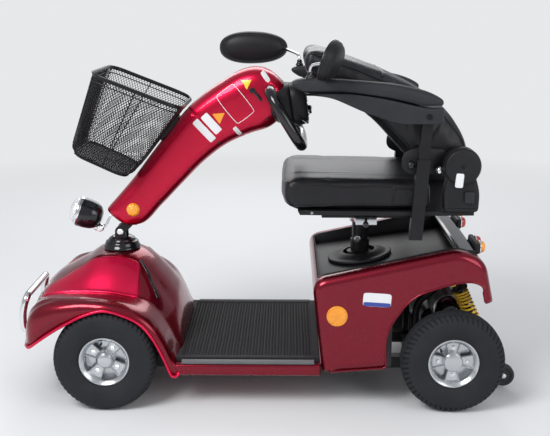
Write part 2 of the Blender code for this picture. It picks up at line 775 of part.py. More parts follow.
def make_rear_body():
    """Rear body: a hollow moulding over the wheels, with rounded shoulders and a recessed top."""
    axle = REAR_AXLE_X
    low = 0.05
    outline = rounded([
        (axle + BODY_FRONT, 0.388, 0.024), (body_front(low), low, 0), (tail_x(low), low, 0),
        (tail_x(TAIL_TOP), TAIL_TOP, 0.034), (axle - 0.012, SHOULDER_TOP, 0.030),
    ], 4)
    body = solid("rear_body", *pillow(outline, -BODY_HALF, BODY_HALF, 0.024, 4), RED, sharp=50)
    recess_front, recess_rear = axle + 0.392, axle - 0.065
    roof_front, roof_rear = recess_front + 0.006, recess_rear - SHELL
    side = BODY_HALF - SHELL
    hollow = [
        (roof_front, tray_height(roof_front) - SHELL), (body_front(0.30) - SHELL, 0.30),
        (body_front(0.0) - SHELL, 0.0), (tail_x(0.0) + SHELL, 0.0), (tail_x(0.412) + SHELL, 0.412),
        (roof_rear, tray_height(roof_rear) - SHELL),
    ]
    cut(body, solid("body_hollow", *prism(hollow, -side, side), RED))
    cut(body, solid("wheel_arch", *prism(arch_outline(), -0.4, 0.4), RED))
    recess = [
        (recess_front, tray_height(recess_front)), (recess_rear, tray_height(recess_rear)),
        (recess_rear, 0.6), (recess_front, 0.6),
    ]
    cut(body, solid("tray_recess", *prism(recess, -RAIL_TRIM_HALF, RAIL_TRIM_HALF), RED))
    post_hole = [(0, 0), (POST_HOLE, 0), (POST_HOLE, 0.1), (0, 0.1)]
    cut(body, turned("post_hole", post_hole, 18, RED, (SEAT_X, 0, 0.33), (0, 0, 1)))
    for side, sign in sides():
        radius, thick = REFLECTOR_RADIUS, REFLECTOR_THICK
        dome = [(0, 0), (radius, 0), (radius, thick * 0.5), (radius * 0.9, thick), (0, thick)]
        at = (axle + 0.3355, sign * (BODY_HALF + GAP), 0.288)
        turned(f"reflector_{side}", dome, 20, AMBER, at, (0, sign, 0))
    make_handle()
    make_rear_lights()


def make_handle():
    """Glossy bar across the rear of the recess."""
    x, z = REAR_AXLE_X - 0.034, SHOULDER_TOP - 0.020
    half_width, half_thick = HANDLE_WIDTH / 2, HANDLE_THICK / 2
    outline = rounded([
        (x + half_width, z - half_thick, 0.009), (x + half_width, z + half_thick, 0.009),
        (x - half_width, z + half_thick, 0.009), (x - half_width, z - half_thick, 0.009),
    ], 3)
    reach = RAIL_TRIM_HALF - GAP
    solid("rear_handle", *prism(outline, -reach, reach), BLACK)


def make_rear_lights():
    """On each side a pod on the rear slope, with two domes facing back."""
    axle = REAR_AXLE_X
    front, back = axle - 0.0610, axle - 0.0800
    top = rear_slope(back) + GAP + 0.034
    outline = [(front, rear_slope(front) + GAP), (back, rear_slope(back) + GAP), (back, top), (front - 0.004, top)]
    for side, sign in sides():
        near, far = sorted((sign * 0.092, sign * 0.214))
        pod = solid(f"rear_light_{side}", *prism(outline, near, far), LAMP_RED)
        for k, y in enumerate((0.124, 0.184)):
            dome = [(0, -0.006), (0.014, -0.006), (0.014, 0.006), (0.010, 0.012), (0, 0.014)]
            at = (back, sign * y, rear_slope(back) + 0.018)
            join(pod, turned(f"dome_{k}_{side}", dome, 12, LAMP_RED, at, (-1, 0, 0)))


def make_batteries():
    """Two batteries under the seat, on the main rails."""
    base = FLOOR_BOTTOM
    for side, sign in sides():
        near, far = sorted((sign * 0.038, sign * 0.205))
        box(f"battery_{side}", (SEAT_X - 0.085, near, base), (SEAT_X + 0.098, far, base + 0.170), BLACK)


def make_anti_tip():
    """Bracket behind the axle with its two small wheels."""
    x = REAR_AXLE_X - REAR_OVERHANG + TIP_RADIUS
    for side, sign in sides():
        at = (x, sign * TIP_HALF, TIP_HEIGHT)
        half, bore = TIP_WIDTH / 2, 0.006 + PIN_GAP
        edge = TIP_RADIUS - 0.004
        wheel = [(bore, -half), (edge, -half), (TIP_RADIUS, 0.004 - half), (TIP_RADIUS, half - 0.004), (edge, half), (bore, half)]
        turned(f"anti_tip_wheel_{side}", wheel, 20, RUBBER, at, ring=True)
    inner = TIP_HALF - TIP_WIDTH / 2 - 0.003
    front = REAR_AXLE_X + RAIL_REAR - GAP
    pin = TIP_HALF + TIP_WIDTH / 2
    bracket = turned(
        "anti_tip_bracket", [(0, -pin), (0.006, -pin), (0.006, pin), (0, pin)], 10, STEEL, (x, 0, TIP_HEIGHT)
    )
    arms = []
    for k, sign in enumerate((1, -1)):
        near, far = sorted((sign * (inner - 0.006), sign * inner))
        outline = [(x - 0.012, TIP_HEIGHT - 0.012), (x + 0.03, TIP_HEIGHT - 0.014), (front - 0.05, 0.066),
                   (front - 0.05, 0.096), (x + 0.02, TIP_HEIGHT + 0.014), (x - 0.012, TIP_HEIGHT + 0.012)]
        arms.append(solid(f"tip_arm_{k}", *prism(outline, near, far), STEEL))
    arms.append(box("tip_cross", (front - 0.080, -inner, 0.068), (front - 0.052, inner, 0.094), STEEL))
    for k, sign in enumerate((1, -1)):
        near, far = sorted((sign * (RAIL_HALF - 0.012), sign * (RAIL_HALF + 0.012)))
        arms.append(box(f"tip_tongue_{k}", (front - 0.06, near, 0.070), (front, far, 0.092), STEEL))
    join(bracket, *arms)


def tiller_point(along, across, y=0.0):
    """World point from the tilt pivot: along the tiller, and across it towards the front."""
    x = FRONT_AXLE_X - COLUMN_BEHIND_AXLE
    sine, cosine = math.sin(TILLER_LEAN), math.cos(TILLER_LEAN)
    return (x - sine * along + cosine * across, y, TILT_HEIGHT + cosine * along + sine * across)


def tiller_sections():
    """Sections of the tiller cover: distance along, rear side, front side, half width."""
    return (
        (0.020, 0.030, 0.072, 0.020),
        (0.024, 0.018, 0.076, 0.036),
        (0.036, -0.010, 0.078, 0.048),
        (0.066, -0.032, 0.079, 0.053),
        (0.150, -0.036, 0.083, 0.055),
        (0.250, -0.036, 0.094, 0.058),
        (0.345, -0.038, 0.103, 0.062),
        (0.430, -0.052, 0.108, 0.068),
        (0.500, -0.080, 0.100, 0.074),
        (0.560, -0.110, 0.087, 0.079),
        (0.600, -0.114, 0.077, 0.080),
        (0.636, -0.106, 0.060, 0.077),
        (0.662, -0.088, 0.036, 0.068),
        (0.678, -0.060, 0.004, 0.050),
    )


def cover_front(along):
    """How far the cover's front reaches across at a distance along the tiller."""
    table = np.array(tiller_sections())
    rear, front = (np.interp(along, table[:, 0], table[:, k]) for k in (1, 2))
    flat = math.cos(math.pi / COVER_SIDES) ** (2 / COVER_POWER)
    return (rear + front) / 2 + (front - rear) / 2 * flat


def superellipse(steps, power):
    """Unit points of a rounded square."""
    points = []
    for k in range(steps):
        angle = 2 * math.pi * (k + 0.5) / steps
        c, s = math.cos(angle), math.sin(angle)
        points.append((math.copysign(abs(c) ** (2 / power), c), math.copysign(abs(s) ** (2 / power), s)))
    return points


def make_column(steer, tilt):
    """Steering column with the lug that the tiller tilts on, and the tiller's yoke."""
    x = FRONT_AXLE_X - COLUMN_BEHIND_AXLE
    height = TILT_HEIGHT - COLUMN_BOTTOM
    shaft = [(0, 0), (COLUMN_RADIUS, 0), (COLUMN_RADIUS, height), (0, height)]
    column = turned("steering_column", shaft, 16, STEEL, (x, 0, COLUMN_BOTTOM), (0, 0, 1))
    half = TILT_LUG_HALF
    lug = [(0, -half), (TILT_LUG_RADIUS, -half), (TILT_LUG_RADIUS, half), (0, half)]
    join(column, turned("lug", lug, 18, STEEL, (x, 0, TILT_HEIGHT)))
    hang(steer, column)
    yoke = solid("tiller_yoke", *yoke_block(0.050, 0.105, 0.031, 0.022, 0), CHROME)
    join(yoke, *(
        solid(f"yoke_leg_{side}", *yoke_leg(sign, 0), CHROME) for side, sign in sides()
    ))
    hang(tilt, yoke)


def yoke_block(start, end, half, depth, grow):
    """Block of the yoke, grown by a clearance."""
    rings = []
    for along in (start - grow, end + grow):
        corners = ((-depth, -half), (depth, -half), (depth, half), (-depth, half))
        rings.append([
            tiller_point(along, v + math.copysign(grow, v), y + math.copysign(grow, y)) for v, y in corners
        ])
    return loft(rings)


def yoke_leg(sign, grow):
    """One leg of the yoke beside the column's lug."""
    inner, outer = TILT_LUG_HALF + PIN_GAP, 0.0300
    outline = [(0.060, -0.014), (0.060, 0.014), (0.0, 0.014), (-0.0122, 0.007), (-0.0140, 0.0), (-0.0122, -0.007), (0.0, -0.014)]
    rings = []
    for y in (inner - grow, outer + grow):
        rings.append([tiller_point(u + math.copysign(grow, u - 0.02), v + math.copysign(grow, v), sign * y) for u, v in outline])
    return loft(rings)


def make_tiller(tilt):
    """Tiller cover with its head, console, steering loop, indicators, headlamp and basket."""
    shape = superellipse(COVER_SIDES, COVER_POWER)
    rings = []
    for along, rear, front, half in tiller_sections():
        middle, depth = (rear + front) / 2, (front - rear) / 2
        rings.append([tiller_point(along, middle + depth * a, half * b) for a, b in shape])
    cover = solid("tiller_cover", *loft(rings), RED, tiller_point(0, 0), sharp=50)
    grow = GAP
    cut(cover, solid("yoke_pocket", *yoke_block(0.050, 0.105, 0.031, 0.022, grow), RED))
    for side, sign in sides():
        cut(cover, solid(f"leg_pocket_{side}", *yoke_leg(sign, 0.0012), RED))
    hang(tilt, cover)
    make_console(tilt)
    make_loop(tilt)
    for side, sign in sides():
        radius = 0.018
        dome = [(0, 0), (radius, 0), (radius, 0.006), (radius * 0.8, 0.012), (0, 0.014)]
        at = tiller_point(0.088, 0.018, sign * (0.0530 + 0.0012))
        hang(tilt, turned(f"indicator_{side}", dome, 18, AMBER, at, (0, sign, 0)))
    make_headlamp(tilt)
    make_basket(tilt)


def make_console(tilt):
    """Black dash on the rear of the head."""
    shape = superellipse(18, 3.0)
    # Columns: distance behind the head's end, centre across, half depth, half width
    table = ((0.000, -0.102, 0.062, 0.070), (0.012, -0.104, 0.064, 0.072), (0.036, -0.108, 0.058, 0.066), (0.046, -0.110, 0.046, 0.054))
    turn = math.radians(-38)
    rings = []
    for back, centre, depth, half in table:
        ring = []
        for a, b in shape:
            u, v = back, depth * a
            along = 0.6475 + u * math.cos(turn) - v * math.sin(turn)
            across = centre - 0.0015 + u * math.sin(turn) + v * math.cos(turn)
            ring.append(tiller_point(along, across - 0.004, half * b))
        rings.append(ring)
    hang(tilt, solid("console", *loft(rings), BLACK, tiller_point(0.66, -0.10), sharp=50))


def make_loop(tilt):
    """Steering loop that leaves the head's sides, runs round and crosses below the console."""
    high, low = (0.640, -0.030), (0.592, -0.206)
    # Columns: half width, share of the way down the loop
    corners = ((LOOP_END, 0.00), (LOOP_HALF * 0.86, 0.00), (LOOP_HALF, 0.40), (LOOP_HALF * 0.92, 0.98), (0.060, 1.02))
    half = [
        tiller_point(high[0] + (low[0] - high[0]) * t, high[1] + (low[1] - high[1]) * t, y)
        for y, t in corners
    ]
    points = half + [(x, -y, z) for x, y, z in reversed(half)]
    hang(tilt, solid("steering_loop", *tube(bend(points, 0.07, 4), LOOP_TUBE, 8), BLACK))


def make_headlamp(tilt):
    """Round lamp in a black bucket, with a bright bezel, on an arm at the foot of the tiller."""
    x, z = FRONT_AXLE_X + 0.072, TILT_HEIGHT + 0.044
    facing = (math.cos(math.radians(17)), 0, math.sin(math.radians(17)))
    bucket = [
        (0, -0.024), (0.018, -0.023), (0.034, -0.012), (0.044, 0.008), (0.047, 0.030),
        (0.047, 0.052), (0.043, 0.052), (0.040, 0.046), (0, 0.046),
    ]
    lamp = turned("headlamp", bucket, 16, BLACK, (x, 0, z), facing)
    base = tiller_sections()[0][0]
    path = bend(
        [
            (x + 0.012, 0, z - 0.017), (x - 0.010, 0, z - 0.034),
            tiller_point(base - 0.032, 0.052), tiller_point(base - GAP, 0.052),
        ],
        0.012, 4,
    )
    join(lamp, solid("lamp_arm", *tube(path, 0.0055, 8), CHROME))
    lens = [(0, 0.0463), (0.0396, 0.0463), (0.0396, 0.053), (0.034, 0.060), (0.020, 0.065), (0, 0.067)]
    hang(tilt, lamp, turned("headlamp_lens", lens, 16, GLASS, (x, 0, z), facing))


def basket_ring(low, high, half, radius, drop):
    """A rounded rectangle between a rear and a front point of the tiller's plane, lowered by a distance."""
    length = math.hypot(high[0] - low[0], high[1] - low[1])
    corners = [(0, -half, radius), (length, -half, radius), (length, half, radius), (0, half, radius)]
    column_x = FRONT_AXLE_X - COLUMN_BEHIND_AXLE
    ring = []
    for along, y in rounded(corners, 4):
        t = along / length
        x, z = (start + (end - start) * t for start, end in zip(low, high))
        ring.append((column_x + x, y, TILT_HEIGHT + z - drop))
    return ring


def make_basket(tilt):
    """Tapered basket in front of the tiller, open on top, with its mounting plate."""
    top_front, top_rear = (0.044, 0.494), (-0.212, 0.394)
    low_front, low_rear = (0.124, 0.265), (-0.050, 0.185)
    wall, top_half, low_half = BASKET_WALL, 0.170, 0.148
    outer = [
        basket_ring(low_rear, low_front, low_half, 0.030, 0),
        basket_ring(top_rear, top_front, top_half, 0.035, 0),
    ]
    basket = solid("basket", *loft(outer), STEEL)
    low_rear_in = (low_rear[0] + wall, low_rear[1] + 1.6 * wall)
    inner = [
        basket_ring(low_rear_in, (low_front[0] - wall, low_front[1] + wall), low_half - wall, 0.026, 0),
        basket_ring(
            (top_rear[0] + wall, top_rear[1] + wall), (top_front[0] - wall, top_front[1] + wall),
            top_half - wall, 0.031, -wall,
        ),
    ]
    cut(basket, solid("basket_inside", *loft(inner), STEEL))
    plate = [
        [tiller_point(u, v, y) for v, y in ((near, -0.030), (far, -0.030), (far, 0.030), (near, 0.030))]
        for u, near, far in (
            (u, cover_front(u) + GAP, cover_front(u) + 0.016) for u in (0.300, 0.345, 0.380)
        )
    ]
    join(basket, solid("basket_plate", *loft(plate), STEEL))
    hang(tilt, basket)


def make_seat_base():
    """Seat post with its dish and top plate, and the fixed slide rails."""
    base = tray_height(SEAT_X) + TOWER_RISE + GAP
    plate_top = PAN_BOTTOM - RAIL_THICK - 2 * GAP
    rise = plate_top - base
    post = [
        (0, 0), (0.040, 0), (0.040, 0.006), (POST_RADIUS + 0.004, 0.010), (POST_RADIUS + 0.004, 0.045),
        (POST_RADIUS, 0.048), (POST_RADIUS, rise - 0.030), (0.034, rise - 0.028), (0.034, rise - 0.008), (0, rise - 0.008),
    ]
    item = turned("seat_post", post, 20, STEEL, (SEAT_X, 0, base), (0, 0, 1))
    join(item, box("top_plate", (SEAT_X - 0.09, -0.13, plate_top - 0.010), (SEAT_X + 0.09, 0.13, plate_top), STEEL))
    top = tray_height(SEAT_X)
    outer, inner = DISH_RADIUS, 0.0485
    dish = [(inner, 0), (outer * 0.96, 0), (outer, 0.006), (outer * 0.96, 0.012), (outer * 0.86, 0.009), (outer * 0.6, DISH_HEIGHT), (inner, DISH_HEIGHT + 0.002)]
    tilt = Vector((TRAY_SLOPE, 0, 1)).normalized()
    turned("seat_dish", dish, 24, BLACK, (SEAT_X, 0, top + GAP), tilt, ring=True)
    rail_low = plate_top + GAP
    box("seat_rails", (SEAT_X - 0.127, -0.18, rail_low), (SEAT_X + 0.126, 0.18, rail_low + RAIL_THICK), STEEL)


def lean_x(height):
    """X of the leaning arm posts at a height."""
    return SEAT_X + ARM_PIVOT_X + (ARM_PIVOT_Z - height) * 0.07


def post_outline(low, high, width):
    """Side outline of a leaning post."""
    half = width / 2
    return [(lean_x(low) - half, low), (lean_x(low) + half, low), (lean_x(high) + half, high), (lean_x(high) - half, high)]


def make_seat(slide):
    """Pan, cushion, arm posts in their sleeves and the hinge covers."""
    pan_top = PAN_BOTTOM + PAN_THICK
    outline = [(SEAT_X - 0.303, PAN_BOTTOM), (SEAT_X + 0.190, PAN_BOTTOM), (SEAT_X + 0.196, pan_top), (SEAT_X - 0.303, pan_top)]
    pan = solid("seat_pan", *prism(outline, -0.2345, 0.2345), STEEL)
    sleeve_inner = ARM_POST_HALF - ARM_POST_THICK / 2 - SLEEVE_WALL
    items = [pan]
    for side, sign in sides():
        near, far = sorted((sign * sleeve_inner, sign * (2 * ARM_POST_HALF - sleeve_inner)))
        sleeve = solid(
            f"arm_post_{side}",
            *prism(post_outline(SLEEVE_BOTTOM, SLEEVE_TOP, ARM_POST_WIDTH + 2 * SLEEVE_WALL), near, far),
            STEEL,
        )
        half = ARM_POST_WIDTH / 2
        head = arc(lean_x(ARM_PIVOT_Z), ARM_PIVOT_Z, half, 0, 180, 7)
        low = SLEEVE_TOP - 0.01
        stem = [(lean_x(low) - half, low), (lean_x(low) + half, low)] + head
        inner, outer = sorted((sign * (ARM_POST_HALF - ARM_POST_THICK / 2), sign * (ARM_POST_HALF + ARM_POST_THICK / 2)))
        join(sleeve, solid(f"arm_stem_{side}", *prism(stem, inner, outer), STEEL))
        bore = ARM_PIN_RADIUS + PIN_GAP
        hole = [(0, -0.02), (bore, -0.02), (bore, 0.02), (0, 0.02)]
        at = (lean_x(ARM_PIVOT_Z), sign * ARM_POST_HALF, ARM_PIVOT_Z)
        pin_hole = turned(f"pin_hole_{side}", hole, 14, STEEL, at)
        items.append(sleeve)
        under, over = sorted((sign * 0.19, sign * (sleeve_inner + 0.002)))
        low_x = lean_x(0.548)
        join(sleeve, box(f"arm_foot_{side}", (low_x - 0.012, under, PAN_BOTTOM - 0.018), (low_x + 0.012, over, PAN_BOTTOM - GAP), STEEL))
        cut(sleeve, pin_hole)
        pivot_x, top = SEAT_X + BACK_PIVOT_X, pan_top + GAP
        cover = arc(pivot_x, BACK_PIVOT_Z, HINGE_RADIUS, -40, 220, 18)
        cover += [(pivot_x - 0.052, 0.64), (pivot_x - 0.050, top), (pivot_x + 0.045, top), (pivot_x + 0.049, 0.64)]
        near, far = sorted((sign * HINGE_INNER, sign * HINGE_OUTER))
        hinge = solid(f"hinge_cover_{side}", *pillow(cover, near, far, 0.004, 2), BLACK)
        bore, deep = BACK_PIN_RADIUS + PIN_GAP, BACK_PIN_REACH + GAP
        hole = [(0, 0), (bore, 0), (bore, deep), (0, deep)]
        cut(hinge, turned(f"hinge_bore_{side}", hole, 14, BLACK, (pivot_x, sign * (HINGE_INNER - 0.002), BACK_PIVOT_Z), (0, sign, 0)))
        items.append(hinge)
    base = pan_top + GAP
    top = base + CUSHION_THICK
    front, rear = SEAT_X + CUSHION_FRONT, SEAT_X + CUSHION_REAR
    outline = rounded([(front - 0.040, base, 0.030), (front + 0.010, base + 0.035, 0.030), (front, top, 0.028), (rear, top - 0.008, 0.030), (rear, base, 0.012)])
    items.append(solid("seat_cushion", *pillow(outline, -CUSHION_HALF, CUSHION_HALF, 0.028, 3), VINYL))
    hang(slide, *items)


def make_backrest(fold):
    """Backrest folded forward over the cushion."""
    x = SEAT_X
    outline = rounded(
        [
            (x - 0.205, 0.676, 0.024), (x - 0.125, 0.724, 0.030), (x - 0.005, 0.856, 0.060),
            (x + 0.120, 0.938, 0.060), (x + 0.196, 0.972, 0.028), (x + 0.182, 1.040, 0.028),
            (x - 0.045, 0.964, 0.150), (x - 0.218, 0.878, 0.080), (x - 0.296, 0.760, 0.050), (x - 0.285, 0.672, 0.030),
        ],
        3,
    )
    back = solid("backrest", *pillow(outline, -BACK_HALF, BACK_HALF, 0.022, 3), VINYL)
    reach = HINGE_INNER - 0.002 + BACK_PIN_REACH
    rod = [(0, -reach), (BACK_PIN_RADIUS, -reach), (BACK_PIN_RADIUS, reach), (0, reach)]
    join(back, turned("backrest_rod", rod, 12, STEEL, (x + BACK_PIVOT_X, 0, BACK_PIVOT_Z)))
    hang(fold, back)


def make_armrest(flip, side, sign):
    """Arm with its pad, its slot for the post, and the mirror on its front end."""
    x = SEAT_X
    outline = rounded(
        [
            (x + 0.226, 0.944, 0.012), (x + 0.196, 0.960, 0.020), (x + 0.085, 0.955, 0), (x - 0.077, 0.942, 0),
            (x - 0.159, 0.923, 0), (x - 0.203, 0.901, 0.012), (x - 0.199, 0.834, 0.012), (x - 0.081, 0.834, 0),
            (x + 0.002, 0.860, 0), (x + 0.105, 0.912, 0), (x + 0.196, 0.922, 0.010),
        ],
        3,
    )
    near, far = sorted((sign * (ARM_POST_HALF - ARM_WIDTH / 2), sign * (ARM_POST_HALF + ARM_WIDTH / 2)))
    arm = solid(f"armrest_{side}", *pillow(outline, near, far, 0.010, 2), BLACK)
    clear = ARM_POST_THICK / 2 + 0.0045
    reach = ARM_POST_WIDTH / 2 + 0.005
    near, far = sorted((sign * (ARM_POST_HALF - clear), sign * (ARM_POST_HALF + clear)))
    pivot_x = x + ARM_PIVOT_X
    slot_low, slot_high = (pivot_x - 0.10, near, 0.80), (pivot_x + reach, far, ARM_PIVOT_Z + reach)
    cut(arm, box(f"arm_slot_{side}", slot_low, slot_high, BLACK))
    half = clear + 0.003
    pin = [(0, -half), (ARM_PIN_RADIUS, -half), (ARM_PIN_RADIUS, half), (0, half)]
    join(arm, turned(f"arm_pin_{side}", pin, 14, BLACK, (pivot_x, sign * ARM_POST_HALF, ARM_PIVOT_Z)))
    hang(flip, arm)


def mirror_shell(name, centre, length_axis, height_axis, length, height, thick, foot):
    """An oval mirror head with a domed back, joined to its stem."""
    along, up = Vector(length_axis).normalized(), Vector(height_axis).normalized()
    back = along.cross(up)
    # Columns: share of the oval's size, share of the depth from glass to the crown
    rings = []
    for size, depth in ((0.90, 0.0), (1.0, 0.12), (0.97, 0.38), (0.84, 0.68), (0.58, 0.90), (0.20, 1.0)):
        ring = []
        for k in range(16):
            turn = 2 * math.pi * k / 16
            point = Vector(centre) + along * (length / 2 * size * math.cos(turn))
            ring.append(point + up * (height / 2 * size * math.sin(turn)) + back * (thick * depth))
        rings.append(ring)
    head = solid(name, *loft(rings), BLACK)
    grip = Vector(centre) + back * thick * 0.4
    near = min((grip + along * (s * length * 0.42) for s in (1, -1)), key=lambda p: (p - Vector(foot)).length)
    path = [Vector(foot), Vector(foot) + Vector((0, 0, 0.012)), near]
    join(head, solid(f"{name}_stem", *tube(bend(path, 0.008, 3), 0.005, 8), CHROME))
    return head


def make_mirrors(flips):
    """One mirror swung forward on the right arm, one edge-on on the left."""
    x = SEAT_X
    foot_y, foot_z = ARM_POST_HALF + 0.004, 0.9605
    depth = 0.038
    right = mirror_shell(
        "mirror_right", (x + 0.342, -MIRROR_REACH, 1.009), (1, 0, 0), (0, 0, 1), 0.228, 0.106, -depth,
        (x + 0.188, -foot_y, foot_z),
    )
    reach = (MIRROR_REACH - BACK_HALF - MIRROR_CLEAR) / 2
    left = mirror_shell(
        "mirror_left", (x + 0.120, MIRROR_REACH - reach, 1.011), (0, 1, 0), (-0.12, 0, 1), 2 * reach, 0.108,
        -depth, (x + 0.165, foot_y, foot_z - 0.0014),
    )
    hang(flips["right"], right)
    hang(flips["left"], left)


def skin(name, rows, finish, wall, sharp):
    """An open surface through rows of points, with the first face on top, given a wall inwards."""
    rows = np.asarray(rows, float)
    count, size = rows.shape[:2]
    mesh = bpy.data.meshes.new(name)
    faces = [
        (k * size + i, (k + 1) * size + i, (k + 1) * size + i + 1, k * size + i + 1)
        for k in range(count - 1) for i in range(size - 1)
    ]
    mesh.from_pydata([tuple(point) for point in rows.reshape(-1, 3)], [], faces)
    mesh.update()
    if sum(face.normal.z * face.area for face in mesh.polygons) < 0:
        mesh.flip_normals()
    mesh.shade_smooth()
    mesh.set_sharp_from_angle(angle=math.radians(sharp))
    mesh.materials.append(paint(*finish))
    item = bpy.data.objects.new(name, mesh)
    bpy.context.scene.collection.objects.link(item)
    modifier = item.modifiers.new("wall", "SOLIDIFY")
    modifier.thickness = wall
    modifier.offset = -1
    return item


def bumper_path():
    """Centre line of the bumper's tube: out of the nose, up one leg, across and down the other."""
    front = FRONT_AXLE_X + FRONT_OVERHANG - BUMPER_TUBE
    half = [
        (front - 0.056, BUMPER_HALF - 0.006, BUMPER_LOW + 0.022),
        (front, BUMPER_HALF, BUMPER_LOW),
        (front, BUMPER_HALF, BUMPER_LOW + 0.065),
        (front - 0.0145, BUMPER_HALF - 0.004, BUMPER_TOP),
    ]
    return bend(half + [(x, -y, z) for x, y, z in reversed(half)], 0.040, 3)


def rear_slope(x):
    """Height of the rear body's back slope at an X."""
    ridge = REAR_AXLE_X - 0.012
    rise = (SHOULDER_TOP - TAIL_TOP) / (ridge - tail_x(TAIL_TOP))
    return SHOULDER_TOP + (x - ridge) * rise


def main():
    """Clears the scene and builds every piece."""
    for item in list(bpy.data.objects):
        bpy.data.objects.remove(item, do_unlink=True)
    make_wheels()
    make_front_axle()
    make_frame()
    make_rear_suspension()
    make_front_body()
    make_bumper()
    make_floor()
    make_rear_body()
    make_batteries()
    make_anti_tip()
    column_x = FRONT_AXLE_X - COLUMN_BEHIND_AXLE
    steer = pivot("steer_axis", (column_x, 0, TILT_HEIGHT))
    tilt = pivot("tilt_axis", (column_x, 0, TILT_HEIGHT))
    make_column(steer, tilt)
    make_tiller(tilt)
    make_seat_base()
    slide = pivot("slide_origin", (SEAT_X, 0, PAN_BOTTOM))
    make_seat(slide)
    make_backrest(pivot("fold_axis", (SEAT_X + BACK_PIVOT_X, 0, BACK_PIVOT_Z)))
    flips = {}
    for side, sign in sides():
        at = (SEAT_X + ARM_PIVOT_X, sign * ARM_POST_HALF, ARM_PIVOT_Z)
        flips[side] = pivot(f"arm_axis_{side}", at)
        make_armrest(flips[side], side, sign)
    make_mirrors(flips)


main()
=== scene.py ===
"""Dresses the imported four-wheel mobility scooter with its finishes and fine pieces."""

import logging
import math
from dataclasses import dataclass, field
from enum import Enum
from typing import Any, Iterable, Sequence

import bmesh
import bpy
import numpy as np
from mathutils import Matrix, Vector


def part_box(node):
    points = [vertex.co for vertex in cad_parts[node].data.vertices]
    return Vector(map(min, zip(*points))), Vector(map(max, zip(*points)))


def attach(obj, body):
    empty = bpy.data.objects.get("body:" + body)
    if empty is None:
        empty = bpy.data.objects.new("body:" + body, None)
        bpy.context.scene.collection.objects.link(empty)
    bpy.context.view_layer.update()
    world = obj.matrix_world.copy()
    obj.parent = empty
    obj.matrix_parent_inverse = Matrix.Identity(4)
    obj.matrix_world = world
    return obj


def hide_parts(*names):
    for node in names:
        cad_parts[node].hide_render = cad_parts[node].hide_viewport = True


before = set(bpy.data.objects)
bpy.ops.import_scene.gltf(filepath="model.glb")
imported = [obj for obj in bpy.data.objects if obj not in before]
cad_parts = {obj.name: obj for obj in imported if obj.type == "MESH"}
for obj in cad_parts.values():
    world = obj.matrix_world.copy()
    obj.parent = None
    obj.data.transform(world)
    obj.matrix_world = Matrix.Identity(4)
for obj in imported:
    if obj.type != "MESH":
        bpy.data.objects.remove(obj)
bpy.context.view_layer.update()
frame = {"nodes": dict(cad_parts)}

LOG = logging.getLogger("scooter")
Array = np.ndarray
Colour = tuple[float, float, float]
Point = tuple[float, float, float]
Pair = tuple[float, float]


class Side(Enum):
    """The vehicle's two sides, with the sign of Y."""

    LEFT = 1
    RIGHT = -1

    @property
    def word(self) -> str:
        """The side's name as the nodes use it."""
        return self.name.lower()

    @property
    def out(self) -> Point:
        """Direction away from the middle."""
        return (0, self.value, 0)


class Grain(Enum):
    """How a surface's fine relief looks: rows of kind, scale, detail or feature, depth and strength."""

    SMOOTH = (("noise", 24, 2, 0.0004, 0.10),)
    PEEL = (("noise", 620, 2, 0.0004, 0.35),)
    LEATHER = (("cells", 520, "DISTANCE_TO_EDGE", 0.0007, 0.55), ("noise", 90, 4, 0.0012, 0.35))
    PITTED = (("noise", 900, 3, 0.0006, 0.6), ("noise", 60, 3, 0.0010, 0.25))
    CAST = (("noise", 380, 4, 0.0005, 0.4),)
    PRISM = (("cells", 260, "F1", 0.0016, 0.9),)
    FLAKE = (("cells", 2600, "F1", 0.00010, 0.12), ("noise", 9, 1, 0.0010, 0.10))


